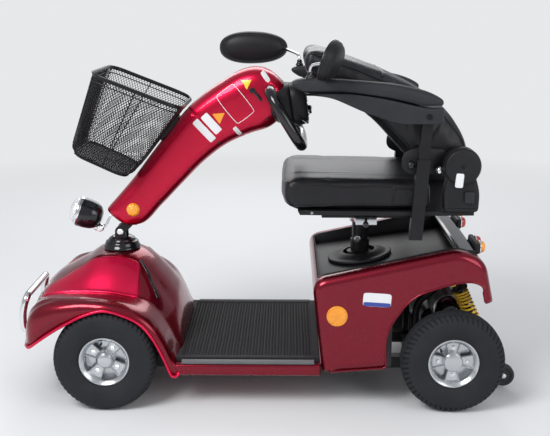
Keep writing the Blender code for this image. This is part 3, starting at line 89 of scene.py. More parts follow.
class Graph:
    """The node tree of one material, with short calls that add nodes to it."""

    def __init__(self, name: str) -> None:
        """Starts a material with a Principled shader.

        Args:
            name: The material's name.
        """
        self.material = bpy.data.materials.new(name)
        self.material.use_nodes = True
        self.tree = self.material.node_tree
        self.shader = self.tree.nodes["Principled BSDF"]
        self.place = self.tree.nodes.new("ShaderNodeTexCoord").outputs["Object"]

    def feed(self, socket: str, source: Any) -> None:
        """Links a value to one of the shader's sockets."""
        self.tree.links.new(source, self.shader.inputs[socket])

    def node(self, kind: str, source: Any, socket: str, output: str, **values: Any) -> Any:
        """Adds a node, sets its sockets and links a value to one of them.

        Args:
            kind: Blender's name for it, after ShaderNode.
            source: The value that is linked.
            socket: The socket that takes it.
            output: The output that is wanted.
            values: Other sockets, named with underscores for spaces.

        Returns:
            The output.
        """
        node = self.tree.nodes.new(f"ShaderNode{kind}")
        for key, value in values.items():
            node.inputs[key.replace("_", " ")].default_value = value
        self.tree.links.new(source, node.inputs[socket])
        return node.outputs[output]

    def noise(self, scale: float, detail: float) -> Any:
        """Cloudy noise of so many lumps to a metre, with so many octaves."""
        return self.node("TexNoise", self.place, "Vector", "Fac", Scale=scale, Detail=detail, Roughness=0.55)

    def cells(self, scale: float, feature: str) -> Any:
        """Distance inside scattered cells, so many to a metre."""
        distance = self.node("TexVoronoi", self.place, "Vector", "Distance", Scale=scale)
        distance.node.feature = feature
        return distance

    def ramp(self, source: Any, stops: Sequence[tuple[float, Colour]]) -> Any:
        """Colours spread over a value.

        Args:
            source: The value.
            stops: Places from 0 to 1 with their colours.

        Returns:
            The colour output.
        """
        colours = self.node("ValToRGB", source, "Fac", "Color")
        points = colours.node.color_ramp.elements
        while len(points) < len(stops):
            points.new(0.5)
        for point, (at, colour) in zip(points, stops):
            point.position, point.color = at, (*colour, 1.0)
        return colours

    def bump(self, height: Any, depth: float, strength: float) -> None:
        """Adds fine relief on top of any that is there.

        Args:
            height: Value from 0 to 1.
            depth: Metres that 1 stands for.
            strength: Share of the effect.
        """
        normal = self.node("Bump", height, "Height", "Normal", Strength=strength, Distance=depth)
        socket = self.shader.inputs["Normal"]
        if socket.is_linked:
            self.tree.links.new(socket.links[0].from_socket, normal.node.inputs["Normal"])
        self.tree.links.new(normal, socket)


@dataclass(frozen=True)
class Finish:
    """A procedural finish: a colour that varies a little, a roughness that varies, and fine relief."""

    name: str
    colour: Colour
    roughness: float = 0.5
    metallic: float = 0.0
    coat: float = 0.0
    grain: Grain = Grain.SMOOTH
    mottle: float = 0.12
    dust: float = 0.0
    wear: float = 0.04
    shine: float = 0.5
    slot: str = "black_plastic"

    def shade(self, share: float) -> Colour:
        """The colour times a share."""
        return tuple(min(1.0, part * share) for part in self.colour)

    def build(self) -> Any:
        """Makes the material, or finds it.

        Returns:
            The material.
        """
        known = bpy.data.materials.get(f"finish_{self.name}")
        if known:
            return known
        graph = Graph(f"finish_{self.name}")
        for socket, value in (
            ("Metallic", self.metallic), ("Coat Weight", self.coat), ("Coat Roughness", 0.06),
            ("Specular IOR Level", self.shine),
        ):
            graph.shader.inputs[socket].default_value = value
        stops = [(0.30, self.shade(1 - self.mottle)), (0.70, self.shade(1 + self.mottle))]
        if self.dust:
            stops.append((0.86, tuple(part + self.dust * (0.30 - part) for part in self.colour)))
        graph.feed("Base Color", graph.ramp(graph.noise(14, 5), stops))
        low, high = self.roughness - self.wear, self.roughness + self.wear
        graph.feed("Roughness", graph.node("MapRange", graph.noise(70, 4), "Value", "Result", To_Min=low, To_Max=high))
        for kind, scale, detail, depth, strength in self.grain.value:
            height = graph.noise(scale, detail) if kind == "noise" else graph.cells(scale, detail)
            graph.bump(height, depth, strength)
        return graph.material


FLAKES = {"grain": Grain.FLAKE, "mottle": 0.04, "slot": "body_red"}
LENS = {"coat": 0.8, "grain": Grain.PRISM}
# The body's red lacquer in two copies: the first is darkened as painted shade of the sides that face away from the
# light; the next is a lighter copy of the same red, painted highlight for the side panels and arch beads that face it.
RED = Finish("body_red", (0.20, 0.001, 0.014), 0.28, 0.82, 0.5, **FLAKES)
RED_LIT = Finish("lit_red_painted_highlight", (0.74, 0.004, 0.062), 0.30, 0.85, 0.4, **FLAKES)
RED_TILLER = Finish("tiller_red", (0.54, 0.001, 0.034), 0.31, 0.86, 0.40, **FLAKES)
BLACK = Finish("black_plastic", (0.010, 0.010, 0.012), 0.46, grain=Grain.CAST, mottle=0.2, shine=0.3)
GLOSS = Finish("gloss_black", (0.006, 0.006, 0.008), 0.16, 0, 0.4, mottle=0.1, shine=0.4, slot="gloss_black")
STEEL = Finish("black_steel", (0.009, 0.009, 0.010), 0.38, 0.2, 0, Grain.PEEL, 0.2, shine=0.35, slot="black_steel")
WIRE = Finish("basket_wire", (0.007, 0.007, 0.009), 0.35, 0.1, 0, Grain.PEEL, 0.2, shine=0.3, slot="black_steel")
CHROME = Finish("chrome", (0.78, 0.79, 0.80), 0.10, 1.0, mottle=0.02, wear=0.03, slot="chrome")
SILVER = Finish("silver_wheel", (0.56, 0.58, 0.60), 0.24, 0.92, 0.3, Grain.PEEL, 0.05, slot="silver_wheel")
TYRE = Finish(
    "tyre_rubber", (0.016, 0.017, 0.020), 0.74, 0, 0, Grain.PITTED, 0.2, 0.05, shine=0.3, slot="tyre_rubber"
)
ROLLER = Finish("roller_rubber", (0.025, 0.025, 0.026), 0.70, grain=Grain.PITTED, slot="tyre_rubber")
MAT = Finish("mat_rubber", (0.012, 0.012, 0.014), 0.70, 0, 0, Grain.PITTED, 0.12, 0.05, shine=0.3, slot="mat_rubber")
ARM = Finish("arm_plastic", (0.018, 0.019, 0.022), 0.44, grain=Grain.CAST, mottle=0.15, shine=0.35)
TRIM = Finish("grey_trim", (0.11, 0.115, 0.12), 0.55, grain=Grain.CAST, dust=0.15)
VINYL = Finish("seat_vinyl", (0.008, 0.008, 0.010), 0.36, 0, 0, Grain.LEATHER, 0.15, shine=0.35, slot="seat_vinyl")
PAD = Finish("arm_pad", (0.020, 0.021, 0.025), 0.50, 0, 0, Grain.LEATHER, shine=0.35, slot="seat_vinyl")
AMBER = Finish("amber_lens", (0.90, 0.33, 0.015), 0.16, slot="amber_lens", **LENS)
LAMP_RED = Finish("red_lens", (0.55, 0.010, 0.012), 0.12, slot="red_lens", **LENS)
YELLOW = Finish("spring_yellow", (0.80, 0.48, 0.015), 0.34, 0, 0.3, Grain.PEEL, 0.10, slot="spring_yellow")
CASE = Finish("battery_case", (0.05, 0.05, 0.055), 0.55, grain=Grain.CAST, slot="battery_case")
GLASS = Finish("lamp_glass", (0.80, 0.84, 0.86), 0.05, 0.35, 1.0, Grain.PRISM, 0.05, slot="lamp_glass")
GLASS_FACE = Finish("mirror_glass", (0.72, 0.75, 0.78), 0.03, 1.0, mottle=0.02, wear=0.01, slot="chrome")
WHITE = Finish("blank_white", (0.74, 0.75, 0.76), 0.40, coat=0.3, mottle=0.03)
STICKER_YELLOW = Finish("blank_yellow", (0.80, 0.60, 0.02), 0.35, coat=0.4, mottle=0.04)
STICKER_ORANGE = Finish("blank_orange", (0.85, 0.32, 0.02), 0.35, coat=0.4, mottle=0.04)
STICKER_BLUE = Finish("blank_blue", (0.02, 0.05, 0.30), 0.35, coat=0.4, mottle=0.04)


def curve(points: Any, count: int, closed: bool = False) -> Array:
    """Smooth curve through rows: cubic Hermite pieces over arc length, tangents the mean of both slopes.

    Args:
        points: Rows, each a point or a whole section.
        count: Rows wanted.
        closed: Whether the last row leads back to the first.

    Returns:
        The rows of the curve.
    """
    rows = np.asarray(points, float)
    if closed:
        rows = np.concatenate([rows[-2:], rows, rows[:3]])
    flat = rows.reshape(len(rows), -1)
    steps = np.maximum(np.linalg.norm(np.diff(flat, axis=0), axis=1), 1e-9)
    place = np.concatenate([[0.0], np.cumsum(steps)])
    slope = np.diff(flat, axis=0) / steps[:, None]
    ahead, behind = steps[1:, None], steps[:-1, None]
    inner = (slope[:-1] * ahead + slope[1:] * behind) / (ahead + behind)
    tangent = np.concatenate([slope[:1], inner, slope[-1:]])
    first, last = (place[2], place[-3]) if closed else (0.0, place[-1])
    at = np.linspace(first, last, count, endpoint=not closed)
    k = np.clip(np.searchsorted(place, at, side="right") - 1, 0, len(steps) - 1)
    span = steps[k][:, None]
    t = (at - place[k])[:, None] / span
    out = (
        flat[k] * (2 * t**3 - 3 * t**2 + 1) + flat[k + 1] * (3 * t**2 - 2 * t**3)
        + tangent[k] * span * (t**3 - 2 * t**2 + t) + tangent[k + 1] * span * (t**3 - t**2)
    )
    return out.reshape((count, *rows.shape[1:]))


def fillet(points: Any, reach: Any, steps: int = 6, closed: bool = False) -> Array:
    """Rounds the corners of polylines: each becomes a parabola from one leg to the other.

    Args:
        points: Array (..., corners, dimensions).
        reach: Distance along the legs at each corner, one value or one a corner.
        steps: Points a corner.
        closed: Whether the last point leads back to the first.

    Returns:
        Array (..., points, dimensions).
    """
    rows = np.asarray(points, float)
    count = rows.shape[-2]
    cut = np.broadcast_to(np.asarray(reach, float), (count,))[:, None]
    start, end = (
        rows + leg / long * np.minimum(cut, long * 0.48)
        for leg in (np.roll(rows, 1, axis=-2) - rows, np.roll(rows, -1, axis=-2) - rows)
        for long in (np.maximum(np.linalg.norm(leg, axis=-1, keepdims=True), 1e-9),)
    )
    t = np.linspace(0, 1, steps)[:, None]
    corner = rows[..., None, :]
    arcs = (1 - t) ** 2 * start[..., None, :] + 2 * t * (1 - t) * corner + t**2 * end[..., None, :]
    if closed:
        return arcs.reshape(*rows.shape[:-2], count * steps, rows.shape[-1])
    inner = arcs[..., 1:-1, :, :].reshape(*rows.shape[:-2], (count - 2) * steps, rows.shape[-1])
    return np.concatenate([rows[..., :1, :], inner, rows[..., -1:, :]], axis=-2)


def rounded(rows: Sequence[Point], shift: float = 0.0, steps: int = 7) -> Array:
    """Closed outline from rows of x, z and corner reach, x moved by a distance."""
    table = np.array(rows, float)
    return fillet(table[:, :2] + (shift, 0), table[:, 2] * 1.3, steps, True)


def inset(outline: Array, distance: Any) -> Array:
    """Moves a closed outline inwards along its corner normals, once for each distance.

    Args:
        outline: Points (n, 2).
        distance: Distances (m,).

    Returns:
        Points (m, n, 2).
    """
    ahead = np.roll(outline, -1, axis=0) - outline
    x, z = outline.T
    area = np.sum(x * np.roll(z, -1) - np.roll(x, -1) * z)
    ahead = ahead / np.maximum(np.linalg.norm(ahead, axis=1), 1e-9)[:, None]
    normals = np.stack([-ahead[:, 1], ahead[:, 0]], axis=1) * np.sign(area)
    corner = normals + np.roll(normals, 1, axis=0)
    corner = corner / np.maximum((corner * normals).sum(axis=1), 0.4)[:, None]
    return outline[None] + corner[None] * np.asarray(distance, float)[:, None, None]


def ring(sides: int, wide: float = 1.0, tall: float = 0.0, power: float = 2.0) -> Array:
    """Closed rounded outline: cosine and sine of the turn, each raised to 2 / power, times its half size.

    Args:
        sides: Points.
        wide: Half size along the first direction.
        tall: Half size along the second, or as wide.
        power: 2 for an ellipse, more for a squarer shape.

    Returns:
        Points (sides, 2).
    """
    shape = circle((np.arange(sides) + 0.5) * 2 * np.pi / sides)
    return np.sign(shape) * np.abs(shape) ** (2 / power) * (wide, tall or wide)


def circle(angle: Array) -> Array:
    """Cosine and sine of each angle, in rows."""
    return np.stack([np.cos(angle), np.sin(angle)], 1)


def spaced(count: int) -> Array:
    """Even turns round a circle, in radians."""
    return np.arange(count) * 2 * np.pi / count


def spun(points: Array, lean: float) -> Array:
    """Points in a plane turned about its origin."""
    c, s = math.cos(lean), math.sin(lean)
    return points @ np.array([[c, -s], [s, c]]).T


def lengths(line: Array) -> Array:
    """Distance along a line at each of its points."""
    return np.concatenate([[0.0], np.cumsum(np.linalg.norm(np.diff(line, axis=0), axis=1))])


def unit(vector: Any) -> Array:
    """A direction with length 1."""
    rows = np.asarray(vector, float)
    return rows / np.maximum(np.linalg.norm(rows, axis=-1, keepdims=True), 1e-12)


def upright(flat: Array, y: Any) -> Array:
    """Points in X and Z put at a Y, one for all or one a row."""
    return np.stack([flat[..., 0], np.broadcast_to(y, flat.shape[:-1]), flat[..., 1]], -1)


def whole(left: Array) -> Array:
    """Rows of points from the middle outwards, with their mirror image before them."""
    return np.concatenate([left[:, :0:-1] * (1, -1, 1), left], 1)


def eased(low: float, high: float, radius: float, steps: int, middle: Iterable[float] = ()) -> list[Pair]:
    """Levels with their insets, turned over both ends by a quarter circle.

    Args:
        low: First level.
        high: Last level.
        radius: Radius of the turn.
        steps: Levels in each turn.
        middle: Levels between, with no inset.

    Returns:
        Rows of level and inset.
    """
    ends = [(radius * (1 - math.cos(t)), radius * (1 - math.sin(t))) for t in np.linspace(0, math.pi / 2, steps)]
    return [(low + y, s) for y, s in ends] + [(y, 0.0) for y in middle] + [(high - y, s) for y, s in ends[::-1]]


@dataclass
class Shape:
    """Points and faces on their way to becoming one object."""

    verts: Array
    faces: list[Array]

    def __add__(self, other: "Shape") -> "Shape":
        """Both shapes as one."""
        shift = len(self.verts)
        return Shape(np.concatenate([self.verts, other.verts]), self.faces + [f + shift for f in other.faces])

    def on(self, side: Side) -> "Shape":
        """A left-hand shape put on a side."""
        if side is Side.LEFT:
            return self
        return Shape(self.verts * (1, -1, 1), [f[:, ::-1] for f in self.faces])

    @classmethod
    def grid(cls, points: Array, rows_close: bool = False, cols_close: bool = True, caps: str = "") -> "Shape":
        """Net of quads over rows of points.

        Args:
            points: Array (rows, columns, 3).
            rows_close: Whether the last row leads back to the first.
            cols_close: The same for columns.
            caps: "flat" closes both ends with one face, "fan" with a pole, "" leaves them.

        Returns:
            The shape.
        """
        rows, cols = points.shape[:2]
        i = np.arange(rows if rows_close else rows - 1)[:, None]
        j = np.arange(cols if cols_close else cols - 1)[None, :]
        here, there, onward = i * cols, (i + 1) % rows * cols, (j + 1) % cols
        quads = np.stack(np.broadcast_arrays(here + j, here + onward, there + onward, there + j), -1)
        verts, faces = points.reshape(-1, 3), [quads.reshape(-1, 4)]
        edge = np.arange(cols)
        last = edge + (rows - 1) * cols
        if caps == "flat":
            faces += [edge[None, ::-1], last[None]]
        elif caps == "fan":
            count = len(verts)
            verts = np.concatenate([verts, [points[0].mean(axis=0), points[-1].mean(axis=0)]])
            faces.append(np.stack([np.roll(edge, -1), edge, np.full(cols, count)], 1))
            faces.append(np.stack([last, np.roll(last, -1), np.full(cols, count + 1)], 1))
        return cls(verts, faces)

    @classmethod
    def lathe(
        cls, profile: Any, at: Sequence[float], axis: Sequence[float] = (0, 1, 0), steps: int = 48, loop: bool = False,
    ) -> "Shape":
        """Profile turned about an axis: place + axis * height + radius * (cosine, sine of the turn).

        Args:
            profile: Rows of (radius, height), or radius and height as arrays (rows, steps).
            at: A point on the axis.
            axis: Its direction.
            steps: Facets round.
            loop: Whether the profile closes on itself.

        Returns:
            The shape, closed at its ends unless it loops.
        """
        if isinstance(profile, tuple):
            radius, height = profile
        else:
            radius, height = np.hsplit(np.asarray(profile, float), 2)
        along = unit(axis)
        first = unit(np.cross(along, (0.0, 0.0, 1.0) if abs(along[2]) < 0.9 else (0.0, 1.0, 0.0)))
        turn = circle(spaced(steps))
        spoke = turn[:, :1] * first + turn[:, 1:] * np.cross(along, first)
        points = np.asarray(at, float) + radius[..., None] * spoke + height[..., None] * along
        return cls.grid(points, rows_close=loop, caps="" if loop else "fan")

    @classmethod
    def turned(
        cls, rows: Sequence[Pair], reach: float, corner: int, at: Sequence[float], axis: Sequence[float], steps: int,
        loop: bool = False,
    ) -> "Shape":
        """Lathe of a profile whose corners are rounded first.

        Args:
            rows: Radius and height of each corner.
            reach: How far from a corner the rounding starts.
            corner: Points a corner.
            at: A point on the axis.
            axis: Its direction.
            steps: Facets round.
            loop: Whether the profile closes on itself.

        Returns:
            The shape.
        """
        return cls.lathe(fillet(rows, reach, corner, loop), at, axis, steps, loop)

    @classmethod
    def ball(cls, radius: float, points: int, at: Sequence[float], axis: Sequence[float], steps: int) -> "Shape":
        """Half circle of so many points turned about an axis."""
        return cls.lathe(radius * circle(np.linspace(-np.pi / 2, np.pi / 2, points)), at, axis, steps)

    @classmethod
    def sweep(
        cls, path: Any, section: Array, up: Sequence[float] = (0, 0, 1), scale: Any = 1.0, closed: bool = False,
    ) -> "Shape":
        """Section carried along a path: point + side * first + other * second, side square to path and up.

        Args:
            path: Points (n, 3).
            section: Outline (m, 2).
            up: Direction that the path never takes.
            scale: Size of the section at each point.
            closed: Whether the path closes on itself.

        Returns:
            The shape.
        """
        line = np.asarray(path, float)
        ahead = unit(np.roll(line, -1, 0) - np.roll(line, 1, 0) if closed else np.gradient(line, axis=0))
        side = unit(np.cross(np.asarray(up, float), ahead))
        other = np.cross(ahead, side)
        size = np.broadcast_to(np.asarray(scale, float), (len(line),))[:, None, None]
        points = line[:, None] + size * (section[None, :, :1] * side[:, None] + section[None, :, 1:] * other[:, None])
        return cls.grid(points, rows_close=closed, caps="" if closed else "fan")

    @classmethod
    def extrude(cls, outline: Array, rows: Sequence[Pair]) -> "Shape":
        """Outline in X and Z carried along Y, shrunk by its own distance at each level.

        Args:
            outline: Points (n, 2).
            rows: Y and inset of each level.

        Returns:
            The closed shape.
        """
        level, shrink = np.array(rows, float).T
        return cls.grid(upright(inset(outline, shrink), level[:, None]), caps="flat")

    @classmethod
    def hexagon(cls, at: Sequence[float], axis: Sequence[float], radius: float, height: float) -> "Shape":
        """Hexagon head with a washer under it and a chamfered top, at a point along a direction."""
        scale = (radius, height)
        washer = cls.lathe(np.array([(1.25, 0), (1.25, 0.2), (1.1, 0.25)]) * scale, at, axis, 24)
        rise = np.asarray(at, float) + unit(axis) * height * 0.2
        return washer + cls.lathe(np.array([(1, 0), (1, 0.7), (0.86, 0.8), (0.5, 0.8)]) * scale, rise, axis, 6)

    @classmethod
    def screw(cls, at: Sequence[float], axis: Sequence[float], radius: float) -> "Shape":
        """Domed head with a hexagonal recess."""
        rows = np.array([(1, 0), (1, 0.3), (0.8, 0.55), (0.45, 0.6), (0.4, 0.2)])
        return cls.lathe(rows * radius, at, axis, 24)

    def put(
        self, name: str, finish: Finish, body: str, over: Sequence[str] = (), sharp: float = 40.0, wall: float = 0.0,
    ) -> Any:
        """Makes the object, rides it on its body and hides the nodes that it stands for.

        Args:
            name: The piece's name.
            finish: Its finish.
            body: The body that carries it.
            over: CAD nodes that it replaces.
            sharp: Degrees past which an edge stays sharp.
            wall: Thickness given inwards to an open surface.

        Returns:
            The object.
        """
        mesh = bpy.data.meshes.new(name)
        mesh.vertices.add(len(self.verts))
        mesh.vertices.foreach_set("co", np.ascontiguousarray(self.verts, np.float32).ravel())
        sizes = np.concatenate([np.full(len(f), f.shape[1]) for f in self.faces])
        corners = np.concatenate([f.ravel() for f in self.faces]).astype(np.int32)
        mesh.loops.add(len(corners))
        mesh.loops.foreach_set("vertex_index", corners)
        mesh.polygons.add(len(sizes))
        mesh.polygons.foreach_set("loop_start", (np.cumsum(sizes) - sizes).astype(np.int32))
        mesh.update(calc_edges=True)
        work = bmesh.new()
        work.from_mesh(mesh)
        bmesh.ops.remove_doubles(work, verts=work.verts, dist=1e-6)
        bmesh.ops.recalc_face_normals(work, faces=work.faces)
        work.to_mesh(mesh)
        work.free()
        mesh.shade_smooth()
        mesh.set_sharp_from_angle(angle=math.radians(sharp))
        mesh.materials.append(finish.build())
        item = bpy.data.objects.new(name, mesh)
        bpy.context.scene.collection.objects.link(item)
        if wall:
            shell = item.modifiers.new("wall", "SOLIDIFY")
            shell.thickness, shell.offset = wall, -1
            if sum(face.normal.z * face.area for face in mesh.polygons) < 0:
                mesh.flip_normals()
        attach(item, body)
        if over:
            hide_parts(*over)
        LOG.info("%s: %d faces", name, len(mesh.polygons))
        return item


def joined(parts: Iterable[Shape]) -> Shape:
    """Several shapes as one, in their order."""
    first, *rest = parts
    return sum(rest, first)


FRONT_AXLE = 0.4665
REAR_AXLE = -0.5385
UP = (0, 0, 1)


@dataclass
class Wheel:
    """One road wheel: treaded tyre and silver rim with four bolt pads between four windows."""

    place: str
    side: Side
    windows_turn: float
    radius: float = 0.150
    half: float = 0.044
    track: float = 0.276
    flange: float = 0.0742
    bead: float = 0.0262
    tread_depth: float = 0.0035
    blocks: int = 56

    @property
    def centre(self) -> Array:
        """The hub's centre."""
        x = FRONT_AXLE if self.place == "front" else REAR_AXLE
        return np.array([x, self.side.value * self.track, self.radius])

    def tread(self, across: Array, tooth: Array) -> Array:
        """Depth of the tread: zigzag grooves on each side of the middle, and lugs over the shoulders.

        Args:
            across: Distance over the section from its middle (n, 1).
            tooth: Place within a block, from 0 to 1 (m,).

        Returns:
            Depths (n, m).
        """
        reach, zig = np.abs(across), np.abs(tooth * 2 - 1) * 0.0040
        lines = np.minimum(np.abs(reach - 0.0050 - zig), np.abs(reach - 0.0170 - zig))
        rear = self.place == "rear"
        lug_start, lug_end, share, deeper = (0.014, 0.050, 0.38, 0.0012) if rear else (0.020, 0.042, 0.32, 0.0)
        groove = np.clip(1 - lines / 0.0022, 0, 1) * (reach < 0.03)
        bar = np.clip((share / 2 - np.abs((tooth + reach * 18) % 1.0 - 0.5)) * 14, 0, 1)
        band = np.clip((reach - lug_start) / 0.002, 0, 1) * np.clip((lug_end - reach) / 0.004, 0, 1)
        return (self.tread_depth + deeper) * np.maximum(groove, bar * band)

    def tyre(self) -> Shape:
        """Tyre: a rounded section turned about the axle, its tread lowered along the section's normals.

        Fine rings stand on the sidewalls.

        Returns:
            The shape.
        """
        half, radius, seat = self.half, self.radius, self.flange + 0.0006
        side = [
            (seat, self.bead), (seat, 0.0335), (0.084, 0.0395), (0.098, half - 0.0010), (0.118, half - 0.0004),
            (0.133, half - 0.0035), (0.1435, half - 0.012), (radius - 0.0012, half - 0.026), (radius, 0.0),
        ]
        outer = curve(side + [(r, -o) for r, o in side[-2::-1]], 76)
        section = np.concatenate([outer, [[0.0668, -self.bead], [0.0668, self.bead]]])
        radii, offset = section[:, :1], section[:, 1:]
        tangent = np.gradient(section, axis=0)
        normal = unit(np.stack([-tangent[:, 1], tangent[:, 0]], 1))
        normal *= np.sign(normal[38, 0] or 1.0)
        across = lengths(outer)
        outside = 9.0
        across = np.concatenate([across - across[-1] / 2, [outside, outside]])[:, None]
        steps = self.blocks * 9
        depth = self.tread(across, (spaced(steps) * self.blocks / (2 * np.pi)) % 1.0)
        rings = 0.0007 * (np.cos((radii - 0.104) * 700) > 0.55) * (np.abs(radii - 0.104) < 0.016)
        lift = rings - depth
        profile = (radii + normal[:, :1] * lift, offset + normal[:, 1:] * lift)
        return Shape.lathe(profile, self.centre, self.side.out, steps, loop=True)

    def rim(self) -> Shape:
        """Rim: flange and stepped well turned about the axle, with bolt pads, ribs and hub in front.

        Returns:
            The shape.
        """
        edge, back = self.flange, -0.014
        at = (self.centre, self.side.out)
        shape = Shape.turned([
            (edge - 0.0006, self.bead), (edge, 0.0300), (edge - 0.0040, 0.0306), (0.0660, 0.0270), (0.0605, 0.0215),
            (0.0585, 0.0100), (0.0565, 0.0070), (0.0550, -0.0150), (0.0650, -0.0150), (0.0655, 0.0255),
        ], 0.0016, 4, *at, 96, loop=True)
        shape += Shape.lathe([(0.0, back), (0.0560, back), (0.0560, -0.010), (0.0, -0.010)], *at, 48)
        cap = 0.0205 if self.place == "front" else 0.0265
        shape += Shape.turned([
            (0.0, -0.010), (0.0300, -0.010), (0.0290, 0.0060), (cap + 0.0025, 0.0120), (cap + 0.0015, 0.0190),
            (cap, 0.0195), (cap * 0.96, 0.0232), (cap * 0.55, 0.0252), (0.0, 0.0258),
        ], 0.0012, 4, *at, 64)
        return joined([shape, *(self.spoke(angle) for angle in self.turns())])

    def turns(self) -> list[float]:
        """Turns of the four bolt pads about the axle."""
        return [self.windows_turn + k * np.pi / 2 for k in range(4)]

    def along(self, angle: float, radius: Any, across: Any, out: Any) -> Array:
        """Points from a spoke's own directions: outwards from the hub, sideways and along the axle."""
        c, s = math.cos(angle), math.sin(angle)
        radius, across, out = (part[..., None] for part in np.broadcast_arrays(radius, across, out))
        return self.centre + radius * (c, 0.0, s) + across * (-s, 0.0, c) + out * self.side.out

    def spoke(self, angle: float) -> Shape:
        """Bolt pad: a slab that widens outwards, with a rib on each edge.

        Args:
            angle: Its turn about the axle.

        Returns:
            The shape.
        """
        u = np.linspace(0, 1, 14)[:, None]
        a, b = ring(28, 1.0, power=5.0).T
        parts = [(a * (0.0125 + 0.0085 * u), 0.0025 + 0.0035 * b + 0.004 * u)]
        a, b = ring(12, 0.0014, 0.0035, 3.0).T
        parts += [(sign * (0.0120 + 0.0088 * u) + a, 0.0075 + 0.004 * u + b) for sign in (-1, 1)]
        return joined(
            Shape.grid(self.along(angle, 0.024 + 0.036 * u, across, out), caps="fan") for across, out in parts
        )

    def build(self) -> None:
        """Makes the wheel's pieces."""
        tag, out = f"{self.place}_{self.side.word}", self.side.out
        body = f"wheel_{tag}"
        self.tyre().put(f"tread_{tag}", TYRE, body, [f"tyre_{tag}"], 50)
        self.rim().put(f"alloy_{tag}", SILVER, body, [f"rim_{tag}"], 35)
        nuts = (Shape.hexagon(self.along(turn, 0.0415, 0.0, 0.0068), out, 0.0066, 0.0062) for turn in self.turns())
        joined(nuts).put(f"nuts_{tag}", CHROME, body, sharp=25)
        stem = [(0.0, 0.0), (0.0030, 0.0), (0.0030, 0.012), (0.0036, 0.013), (0.0036, 0.020), (0.0, 0.021)]
        place = self.along(self.windows_turn + 0.78, 0.050, 0.0, 0.004)
        Shape.turned(stem, 0.0006, 3, place, out, 16).put(f"valve_{tag}", BLACK, body)


